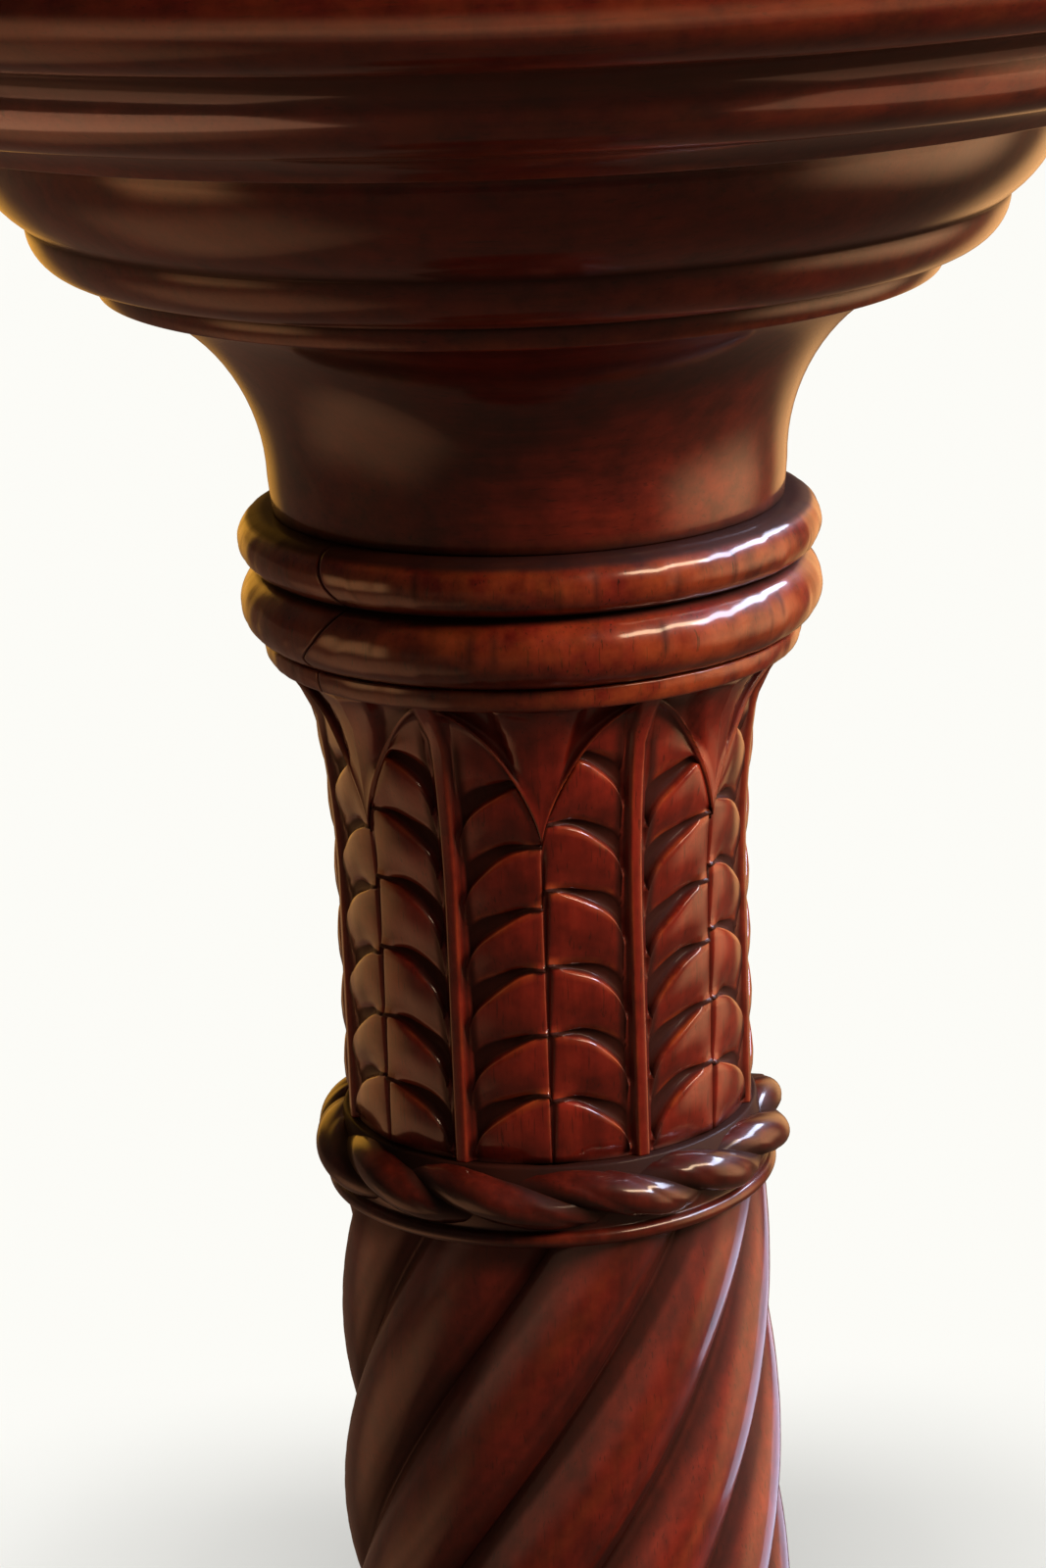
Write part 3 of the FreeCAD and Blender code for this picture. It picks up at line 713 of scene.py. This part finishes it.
# Columns of a reed, rows of the shaft, and the share of its length at which the end rows stand
REED_COLUMNS = 22
REED_ROWS = 250
REED_END_ROW = 0.0004

# How unevenly the reeds are cut, old wax on a crown, and wax and painted shade towards a groove and at the
# ends
REED_WORN = 0.35
CROWN_WAX = 0.26
GROOVE_WAX_AND_SHADE = 0.64
END_WAX_AND_SHADE = 0.8
END_WAX_AND_SHADE_HEIGHT = 14.0
STREAK_WAX = (-0.1, 0.16)


def twist_shaft(finish):
    """Nine convex reeds climbing to the right: columns follow the reeds, and so do streaks of old wax.

    A reed's section is a circle through both its grooves and its crown: with its centre at distance c
    along the reed's middle, the radius at angle b from it is
    c cos b + sqrt((R - c) ** 2 - (c sin b) ** 2). Slow waves along the shaft wear its crowns unevenly."""
    length = Z_UPPER_COLLAR - Z_SHAFT
    along = np.concatenate([[0], np.linspace(REED_END_ROW, 1 - REED_END_ROW, REED_ROWS), [1]])[:, None]
    crown = REED_END_RADIUS + REED_SWELL * np.sin(np.pi * along)
    groove = crown - REED_DEPTH
    half = np.pi / REEDS
    share = np.sin(np.linspace(-np.pi / 2, np.pi / 2, REED_COLUMNS + 1)[:-1])
    b = np.tile(share * half, REEDS)
    middle = np.repeat((np.arange(REEDS) + 0.5) * FULL_TURN / REEDS, REED_COLUMNS)
    c = (crown ** 2 - groove ** 2) / (2 * (crown - groove * math.cos(half)))
    radius = c * np.cos(b) + np.sqrt((crown - c) ** 2 - (c * np.sin(b)) ** 2)
    z = along * length
    waver = 0.25 * np.sin(z / 17 + 2.3 * middle) + 0.2 * np.sin(z / 41 + 5.1 * middle)
    worn = REED_WORN * (0.5 + 0.5 * np.sin(z / 29 + 3.7 * middle))
    radius = radius - worn * np.cos(b / half * np.pi / 2)
    turn = TWIST_AT_HEAD - TWIST_PER_MM * (length - z)
    angle = middle + b + turn + waver / crown
    hand = np.random.default_rng(3)
    streaks = hand.uniform(*STREAK_WAX, (2, REEDS * REED_COLUMNS))
    # Each reed darkens into its grooves and near the collars: old wax and painted shade
    hollow = np.tile(CROWN_WAX + GROOVE_WAX_AND_SHADE * smooth(np.abs(share), 0.42, 0.95), REEDS)
    hollow = hollow + streaks[0] + streaks[1] * np.sin(z / 43 + 40 * streaks[0])
    hollow = np.maximum(hollow, END_WAX_AND_SHADE * smooth(np.minimum(z, length - z), END_WAX_AND_SHADE_HEIGHT, 0.5))
    hollow = np.clip(hollow, 0, 1)
    arris = 0.5 * np.tile(smooth(1 - np.abs(share), 0.75, 1.0), REEDS) * np.ones_like(z)
    grid = around(radius, angle, z + Z_SHAFT)
    piece("reeded_shaft", grid, hollow, arris, False, finish, "twist_shaft")


# Materials

def linear(hex_colour):
    """An sRGB hex colour as linear RGBA."""
    channels = [int(hex_colour[i:i + 2], 16) / 255 for i in (1, 3, 5)]
    return [c / 12.92 if c <= 0.04045 else ((c + 0.055) / 1.055) ** 2.4 for c in channels] + [1.0]


def add(tree, kind, settings=None, inputs=None, stops=None):
    """Adds a shader node, sets its properties, fills or links its inputs, and sets a ramp's colour stops.

    A node given as an input stands for its first output."""
    made = tree.nodes.new("ShaderNode" + kind)
    for key, value in (settings or {}).items():
        setattr(made, key, value)
    for key, value in (inputs or {}).items():
        if isinstance(value, bpy.types.Node):
            value = value.outputs[0]
        if isinstance(value, bpy.types.NodeSocket):
            tree.links.new(value, made.inputs[key])
        else:
            made.inputs[key].default_value = value
    for number, (position, colour) in enumerate(stops or []):
        ramp = made.color_ramp.elements
        stop = ramp[number] if number < 2 else ramp.new(position)
        stop.position = position
        stop.color = linear(colour)
    return made


# One unit of each pattern along and across the grain, in millimetres. Fibres and pores are drawn wider
# than real ones, which would be too fine to show in the render
FIBRE = (90.0, 2.6)
FIGURE = (140.0, 30.0)
PORE = (7.0, 0.55)

# Size of the stain's mottle, of rubbed spots on the arrises and of ripples in the polish
MOTTLE = 8.0
RUBBED_SPOT = 9.0
RIPPLE = 5.0

PORE_COLOUR = "#1c0905"
# Paler wood of rubbed arrises, also a painted highlight on the V-cut's left edge and the crescents' upper
# edges
RUBBED_AND_HIGHLIGHT_COLOUR = "#93451f"
# Near-black brown of old wax and of painted shade in the hollows
WAX_AND_SHADE_COLOUR = "#1a0906"


def lengthwise(size, upright):
    """A pattern's scale along X, Y and Z for grain that runs up the column or across the board."""
    along, across = [1 / (length * MM) for length in size]
    return (across, across, along) if upright else (along, across, across)


def fresh_material(name):
    """A material with an empty tree of nodes, and that tree."""
    material = bpy.data.materials.new(name)
    material.use_nodes = True
    material.node_tree.nodes.clear()
    return material, material.node_tree


def polished_mahogany(name, upright, pores, ripple, dark, middle, light):
    """Red-stained mahogany under a hand-rubbed shellac polish.

    The eye sees fine dark fibres and short pores along the grain, slow clouds of red and brown in the stain,
    a near-black brown in every hollow, partly old wax and partly painted shade, arrises rubbed back to paler
    wood, with the same paler colour as a painted highlight on a few carved edges, and a soft-edged gloss. The
    grain runs upright or across, pores is how dark the pores are, and ripple how far, in millimetres, the
    polish undulates."""
    material, tree = fresh_material(name)
    place = add(tree, "TexCoord").outputs["Object"]
    noises = {}
    for label, size, detail in (("fibre", FIBRE, 5.0), ("figure", FIGURE, 2.0), ("pore", PORE, 1.0)):
        mapped = add(tree, "Mapping", inputs={"Vector": place, "Scale": lengthwise(size, upright)})
        noises[label] = add(tree, "TexNoise", inputs={
            "Vector": mapped, "Scale": 1.0, "Detail": detail, "Roughness": 0.6,
            "Distortion": 0.25}).outputs["Fac"]
    fibre_tone = add(tree, "ValToRGB", inputs={"Fac": noises["fibre"]}, stops=[
        (0.30, dark), (0.70, light), (0.5, middle)])
    figure_tone = add(tree, "ValToRGB", inputs={"Fac": noises["figure"]}, stops=[
        (0.32, "#b4a8a4"), (0.66, "#ffffff")])
    clouded = add(tree, "Mix", {"data_type": "RGBA", "blend_type": "MULTIPLY"}, {
        "Factor": 1.0, 6: fibre_tone, 7: figure_tone}).outputs[2]
    mottle = add(tree, "TexNoise", inputs={
        "Vector": place, "Scale": 1 / (MOTTLE * MM), "Detail": 5.0, "Roughness": 0.62}).outputs["Fac"]
    mottle_tone = add(tree, "ValToRGB", inputs={"Fac": mottle}, stops=[
        (0.34, "#bdb2ac"), (0.62, "#ffffff")])
    mottled = add(tree, "Mix", {"data_type": "RGBA", "blend_type": "MULTIPLY"}, {
        "Factor": 1.0, 6: clouded, 7: mottle_tone}).outputs[2]
    pore_mask = add(tree, "MapRange", inputs={
        "Value": noises["pore"], "From Min": 0.36, "From Max": 0.30, "To Min": 0.0, "To Max": pores})
    pored = add(tree, "Mix", {"data_type": "RGBA"}, {
        "Factor": pore_mask, 6: mottled, 7: linear(PORE_COLOUR)}).outputs[2]
    hollow = add(tree, "Attribute", {"attribute_name": "hollow"}).outputs["Fac"]
    arris = add(tree, "Attribute", {"attribute_name": "arris"}).outputs["Fac"]
    rubbed_spots = add(tree, "TexNoise", inputs={
        "Vector": place, "Scale": 1 / (RUBBED_SPOT * MM), "Detail": 4.0, "Roughness": 0.65}).outputs["Fac"]
    rubbed_share = add(tree, "MapRange", inputs={
        "Value": rubbed_spots, "From Min": 0.38, "From Max": 0.66, "To Min": 0.0, "To Max": 0.6})
    # Paler rubbed wood on the arrises, partly wear and partly painted highlight on some carved edges
    rubbed = add(tree, "Math", {"operation": "MULTIPLY"}, {0: rubbed_share, 1: arris})
    worn = add(tree, "Mix", {"data_type": "RGBA"}, {
        "Factor": rubbed, 6: pored, 7: linear(RUBBED_AND_HIGHLIGHT_COLOUR)}).outputs[2]
    # Every hollow is mixed towards near-black brown: partly old wax, partly painted shade in the crevices and
    # grooves
    wax_and_shade = add(tree, "Math", {"operation": "MULTIPLY"}, {0: hollow, 1: 0.9})
    colour = add(tree, "Mix", {"data_type": "RGBA"}, {
        "Factor": wax_and_shade, 6: worn, 7: linear(WAX_AND_SHADE_COLOUR)}).outputs[2]
    rough = add(tree, "MapRange", inputs={
        "Value": hollow, "From Min": 0.0, "From Max": 1.0, "To Min": 0.36, "To Max": 0.7})
    coat = add(tree, "MapRange", inputs={
        "Value": hollow, "From Min": 0.25, "From Max": 1.0, "To Min": 0.85, "To Max": 0.12})
    ripples = add(tree, "TexNoise", inputs={
        "Vector": place, "Scale": 1 / (RIPPLE * MM), "Detail": 3.0, "Roughness": 0.55}).outputs["Fac"]
    relief = add(tree, "Math", {"operation": "MULTIPLY_ADD"}, {0: pore_mask, 1: -0.1, 2: ripples})
    bump = add(tree, "Bump", inputs={"Strength": 0.35, "Distance": ripple * MM, "Height": relief})
    shader = add(tree, "BsdfPrincipled", inputs={
        "Base Color": colour, "Roughness": rough, "Normal": bump, "IOR": 1.5, "Specular IOR Level": 0.2,
        "Coat Weight": coat, "Coat Roughness": 0.12, "Coat IOR": 1.5})
    add(tree, "OutputMaterial", inputs={"Surface": shader})
    return material


def plain_finish(name, colour, spots, roughness, metallic, size):
    """A bare surface: one colour broken by soft spots of another, of a given size in millimetres."""
    material, tree = fresh_material(name)
    place = add(tree, "TexCoord").outputs["Object"]
    grain = add(tree, "TexNoise", inputs={
        "Vector": place, "Scale": 1 / (size * MM), "Detail": 5.0}).outputs["Fac"]
    tone = add(tree, "ValToRGB", inputs={"Fac": grain}, stops=[(0.35, colour), (0.65, spots)])
    shader = add(tree, "BsdfPrincipled", inputs={
        "Base Color": tone, "Roughness": roughness, "Metallic": metallic})
    add(tree, "OutputMaterial", inputs={"Surface": shader})
    return material


# The finishes, each with what it gives the eye

# Long calm streaks of grain across the wide turned pieces, under an even gloss
board_polish = polished_mahogany("polished_mahogany_board", False, 0.45, 0.16,
                                 "#58160e", "#6c1d13", "#7a2517")
# Upright grain with dark pores, under a gloss that ripples on the rings and the feet
column_polish = polished_mahogany("polished_mahogany_column", True, 0.9, 0.32,
                                  "#55150d", "#671b12", "#742215")
# A redder upright grain with fainter pores, so that the leaves and reeds read by their edges
carved_polish = polished_mahogany("carved_mahogany_polish", True, 0.5, 0.22,
                                  "#641911", "#721d13", "#7e2517")
# Much handled and waxed: darker and browner, with tight glints on the strands
rope_polish = polished_mahogany("rope_mahogany_polish", True, 0.5, 0.18,
                                "#3c100a", "#48130c", "#561a10")
# Pale unpolished wood at the ends of the tenons
bare_wood = plain_finish("planed_beech_slip", "#b98a5a", "#9c6d40", 0.7, 0.0, 3.0)
# Grey metal dulled by age in the sunk soffits
screw_steel = plain_finish("dull_steel_screw", "#5a5652", "#3f3a36", 0.45, 1.0, 2.0)

# The pieces

# Heights over which a bell darkens towards its foot on the rings: old wax and painted shade in the groove
BELL_WAX_AND_SHADE = (3.0, 0.6)
FEET = 4

turned("turned_top_board", top_board_outline(), Z_TOP, board_polish, "top_board", ring=False)
turned("turned_upper_moulding", moulding_outline(), Z_MOULDING, board_polish, "upper_moulding")
turned("turned_capital_boss", boss_outline(), Z_BOSS, board_polish, "capital_boss")
turned("turned_bell", bell_outline(), Z_BELL, board_polish, "bell_neck", ring=False, wax_and_shade=BELL_WAX_AND_SHADE)
neck_rings(column_polish)
leaf_carving(carved_polish)
for collar, foot, up in (("upper_rope_collar", Z_UPPER_COLLAR, 1), ("lower_rope_collar", Z_SHAFT, -1)):
    rope_collar(collar, foot, up, rope_polish, collar)
    collar_band(collar, foot, up, rope_polish, collar)
twist_shaft(carved_polish)
turned("turned_base_ring", base_ring_outline(), Z_BASE_RING, column_polish, "base_ring")
turned("turned_base_bell", upended(bell_outline()), Z_BASE_RING, column_polish, "base_bell", ring=False,
       wax_and_shade=BELL_WAX_AND_SHADE)
turned("turned_base_boss", upended(boss_outline()), Z_BASE_BELL, board_polish, "base_boss")
turned("turned_base_moulding", upended(moulding_outline()), Z_BASE_BOSS, board_polish, "base_moulding")
turned("turned_plinth", plinth_outline(), Z_FOOT_TOP, board_polish, "base_plinth", ring=False)
for number in range(1, FEET + 1):
    angle = FULL_TURN * (number - 0.5) / FEET
    centre = (FOOT_CIRCLE * math.cos(angle), FOOT_CIRCLE * math.sin(angle))
    turned("turned_bun_foot_%d" % number, foot_outline(), 0.0, column_polish, "bun_foot_%d" % number,
           ring=False, centre=centre)

# The wedges and screws keep their CAD shape
for node, finish in (("capital_wedge", bare_wood), ("base_wedge", bare_wood), ("boss_screws", screw_steel),
                     ("top_screws", screw_steel), ("base_screws", screw_steel)):
    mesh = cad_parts[node].data
    mesh.materials.clear()
    mesh.materials.append(finish)

# Camera: a long lens in front of the capital, tipped down and slightly rolled, as in the photograph
CAMERA_PLACE = (-3.26, -875.5, 1188.2)
CAMERA_PITCH = math.radians(16.577)
CAMERA_ROLL = math.radians(-2.164)
CAMERA_LENS = 101.25
SENSOR = 36.0

camera_data = bpy.data.cameras.new("camera")
camera_data.lens = CAMERA_LENS
camera_data.sensor_width = SENSOR
camera = placed("camera", camera_data)
camera.matrix_world = (Matrix.Translation(Vector(CAMERA_PLACE) * MM)
                       @ Matrix.Rotation(math.pi / 2 - CAMERA_PITCH, 4, "X")
                       @ Matrix.Rotation(CAMERA_ROLL, 4, "Z"))
bpy.context.scene.camera = camera

# Studio: a pale floor, lamps and glowing panels that light the stand alone, and a dim room

def group(label, names):
    """A collection of objects, for lamps to be linked to."""
    made = bpy.data.collections.new(label)
    for name in names:
        made.objects.link(bpy.data.objects[name])
    return made


made_pieces = [part.name for part in bpy.context.scene.objects if part.type == "MESH"]
under_top = [name for name in made_pieces if name != "turned_top_board"]
stand = group("stand", made_pieces)
board = group("board", ["turned_top_board"])
below_board = group("below_board", under_top)
moulding = group("moulding", ["turned_upper_moulding"])
boss_and_rings = group("boss_and_rings", ["turned_capital_boss", "neck_rings"])
leaves = group("leaves", ["leaf_carving"])
shaft = group("shaft", ["reeded_shaft"])
but_leaves = group("below_board_but_leaves", [name for name in under_top if name != "leaf_carving"])

# Half the side of the floor in metres, its glow to the camera, and how much of the background is mirrored
FLOOR_HALF = 40.0
FLOOR_GLOW = 0.36
MIRRORED_SHARE = 0.01


def flat_sheet(name, corners, material):
    """A four-cornered sheet for the studio, left out of the object's body."""
    mesh = bpy.data.meshes.new(name)
    mesh.from_pydata(corners, [], [(0, 1, 2, 3)])
    mesh.materials.append(material)
    made = placed(name, mesh)
    return made


def pale_share(tree):
    """How much of the pale background a ray sees: the camera and clear glass all of it.

    The polish mirrors the dim room in front of the stand, and only MIRRORED_SHARE of the background."""
    rays = add(tree, "LightPath").outputs
    seen = add(tree, "Math", {"operation": "ADD"}, {0: rays["Is Camera Ray"], 1: rays["Is Transmission Ray"]})
    return add(tree, "Math", {"operation": "MULTIPLY_ADD", "use_clamp": True}, {
        0: rays["Is Glossy Ray"], 1: MIRRORED_SHARE, 2: seen})


def pale_floor():
    """Matt off-white paint that the camera sees near white and that takes the stand's shadow."""
    material, tree = fresh_material("matt_off_white_floor")
    paint = add(tree, "BsdfDiffuse", inputs={"Color": linear("#bcbcb8")})
    glow = add(tree, "Emission", inputs={"Color": linear("#fbfbf8"), "Strength": FLOOR_GLOW})
    pale = add(tree, "AddShader", inputs={0: paint, 1: glow})
    dim = add(tree, "BsdfDiffuse", inputs={"Color": linear("#593f31")})
    both = add(tree, "MixShader", inputs={0: pale_share(tree), 1: dim, 2: pale})
    add(tree, "OutputMaterial", inputs={"Surface": both})
    return material


flat_sheet("floor", [(x * FLOOR_HALF, y * FLOOR_HALF, 0) for x, y in ((-1, -1), (1, -1), (1, 1), (-1, 1))],
           pale_floor())


# Middle of the capital, which every lamp faces, in metres
HEART = Vector((0.0, 0.0, 0.95))


def lamp(name, place, width, height, colour, radiance, mirrored, lights=stand):
    """A rectangular lamp, either mirrored by the polish or lighting the wood under it.

    Its power follows from the radiance of its face: pi times area times that."""
    data = bpy.data.lights.new(name, "AREA")
    data.shape = "RECTANGLE"
    data.size = width
    data.size_y = height
    data.color = linear(colour)[:3]
    data.energy = radiance * math.pi * width * height
    made = placed(name, data)
    facing = (HEART - place).to_track_quat("-Z", "Y").to_matrix().to_4x4()
    made.matrix_world = Matrix.Translation(place) @ facing
    made.visible_camera = False
    made.visible_glossy = mirrored
    made.visible_diffuse = not mirrored
    made.light_linking.receiver_collection = lights


def toward(azimuth, elevation, distance):
    """A place at that distance from the heart of the capital; azimuth from the front, positive right."""
    turn, tilt = math.radians(azimuth), math.radians(elevation)
    return HEART + distance * Vector((math.cos(tilt) * math.sin(turn), -math.cos(tilt) * math.cos(turn),
                                      math.sin(tilt)))


# Share of a panel's half width and half height that glows at full strength
FULL_GLOW = 0.25


def glow_panel(name, middle, width, height, colour, radiance, lights=stand):
    """A soft-edged glowing panel that only the polish mirrors.

    Its radiance falls from the middle to nothing at the edges by an S-curve along each side."""
    material, tree = fresh_material(name)
    place = add(tree, "UVMap")
    parts = add(tree, "SeparateXYZ", inputs={0: place}).outputs
    fades = []
    for part in (parts["X"], parts["Y"]):
        centred = add(tree, "Math", {"operation": "MULTIPLY_ADD"}, {0: part, 1: 2.0, 2: -1.0})
        off = add(tree, "Math", {"operation": "ABSOLUTE"}, {0: centred})
        fades.append(add(tree, "MapRange", {"interpolation_type": "SMOOTHSTEP"}, {
            "Value": off, "From Min": FULL_GLOW, "From Max": 1.0, "To Min": 1.0, "To Max": 0.0}))
    share = add(tree, "Math", {"operation": "MULTIPLY"}, dict(enumerate(fades)))
    strength = add(tree, "Math", {"operation": "MULTIPLY"}, {0: share, 1: radiance})
    glow = add(tree, "Emission", inputs={"Color": linear(colour), "Strength": strength})
    clear = add(tree, "BsdfTransparent")
    both = add(tree, "AddShader", inputs={0: glow, 1: clear})
    add(tree, "OutputMaterial", inputs={"Surface": both})
    facing = (HEART - middle).normalized()
    right = (facing.cross(Vector((0, 0, 1))) + Vector((1e-4, 0, 0))).normalized() * width / 2
    up = right.cross(facing).normalized() * height / 2
    corners = [middle - right - up, middle + right - up, middle + right + up, middle - right + up]
    panel = flat_sheet(name, corners, material)
    panel.data.uv_layers.new(name="panel").data.foreach_set("uv", [0, 0, 1, 0, 1, 1, 0, 1])
    panel.visible_camera = False
    panel.visible_diffuse = False
    panel.visible_shadow = False
    panel.light_linking.receiver_collection = lights


# Two windows on the right, mirrored as the bright glints on the rings, leaves and rope
lamp("window_right_warm", toward(59, 36, 1.6), 0.95, 0.26, "#ffdcb6", 20.0, True)
lamp("window_right_cool", toward(104, 34, 1.6), 1.7, 0.28, "#d6e1ff", 24.0, True)
# Light thrown up from below, mirrored in the undersides of the upper moulding and of the rim
lamp("kicker_left", toward(-62, -44, 1.3), 1.3, 1.35, "#ffb48a", 2.3, True, moulding)
lamp("kicker_right", toward(64, -31, 1.3), 1.1, 0.8, "#ffb48a", 1.7, True, moulding)
lamp("kicker_rim", toward(0, -30, 1.5), 4.0, 0.7, "#ffb48a", 0.35, True, board)
# A low window far to the right, mirrored as bluish streaks on the outermost reeds
lamp("window_low_cool", toward(130, -30, 1.0), 0.7, 0.36, "#d0daff", 2.0, True, shaft)
# The light on the wood itself: a key from the right, and fills in front, on the left and behind
lamp("key_right", toward(64, 38, 1.8), 0.65, 0.65, "#ffe6cc", 66.0, False, below_board)
lamp("key_right_board", toward(64, 38, 1.8), 0.65, 0.65, "#ffe6cc", 38.0, False, board)
lamp("fill_leaves", toward(5, 28, 1.8), 0.9, 0.9, "#ffe6cc", 2.3, False, leaves)
lamp("fill_left", toward(-120, 25, 1.8), 0.8, 0.8, "#ffe2c4", 2.0, False)
lamp("fill_back", toward(175, 30, 1.8), 0.9, 0.9, "#fff0e2", 6.0, False)
# Warm walls and floor of a dim room, mirrored as brown sheens on the flanks, the rim and the reeds
glow_panel("glow_left", toward(-116, 2, 0.9), 2.0, 1.8, "#ffb76e", 1.25, but_leaves)
glow_panel("glow_left_leaves", toward(-116, 2, 0.9), 2.0, 1.8, "#ffb76e", 0.75, leaves)
glow_panel("glow_front_left", toward(-72, -4, 1.2), 0.9, 0.9, "#ffb478", 1.8, boss_and_rings)
glow_panel("glow_back_left", toward(-156, 8, 1.0), 0.7, 1.2, "#ffb43c", 1.2, below_board)
glow_panel("lit_floor_left", toward(-82, -44, 1.05), 1.6, 0.9, "#ffae7c", 0.6)
glow_panel("glow_right", toward(91, -2, 1.5), 2.3, 1.9, "#ffc08c", 2.7, below_board)
glow_panel("glow_back_right", toward(152, 0, 1.0), 0.7, 1.3, "#ffbd78", 1.35, below_board)
for azimuth in range(-120, 181, 60):
    glow_panel("glow_rim", toward(azimuth, -12, 1.2), 2.2, 0.9, "#ffab78", 1.25, board)
for azimuth in (-60, 0, 60):
    glow_panel("glow_reeds", toward(azimuth, 10, 1.2), 2.2, 1.5, "#ffc6a2", 0.75, shaft)

# Beams on the floor alone, side by side: they throw the wide soft shadow of the top behind the stand
BEAM_TURNS = (-8, -4, 0, 4, 8)
BEAM_TILT = math.radians(53.5)
BEAM_SPREAD = math.radians(4)
BEAM_ENERGY = 1.29

lit = group("lit_by_beams", ["floor"])
for turn in BEAM_TURNS:
    beam_data = bpy.data.lights.new("floor_beam", "SUN")
    beam_data.energy = BEAM_ENERGY
    beam_data.angle = BEAM_SPREAD
    beam = placed("floor_beam", beam_data)
    beam.matrix_world = Matrix.Rotation(math.radians(turn), 4, "Z") @ Matrix.Rotation(BEAM_TILT, 4, "X")
    beam.visible_glossy = False
    beam.light_linking.receiver_collection = lit

# The room: pale to the camera, dim and warm to the polish
ROOM_GLOW = 0.03

world = bpy.data.worlds.new("studio")
bpy.context.scene.world = world
world.use_nodes = True
room = world.node_tree
room.nodes.clear()
room_dim = add(room, "Background", inputs={"Color": linear("#ffd0ac"), "Strength": ROOM_GLOW})
room_pale = add(room, "Background", inputs={"Color": linear("#fcfbf6"), "Strength": 1.0})
room_mix = add(room, "MixShader", inputs={0: pale_share(room), 1: room_dim, 2: room_pale})
add(room, "OutputWorld", inputs={"Surface": room_mix})

bpy.context.scene.view_settings.view_transform = "Standard"
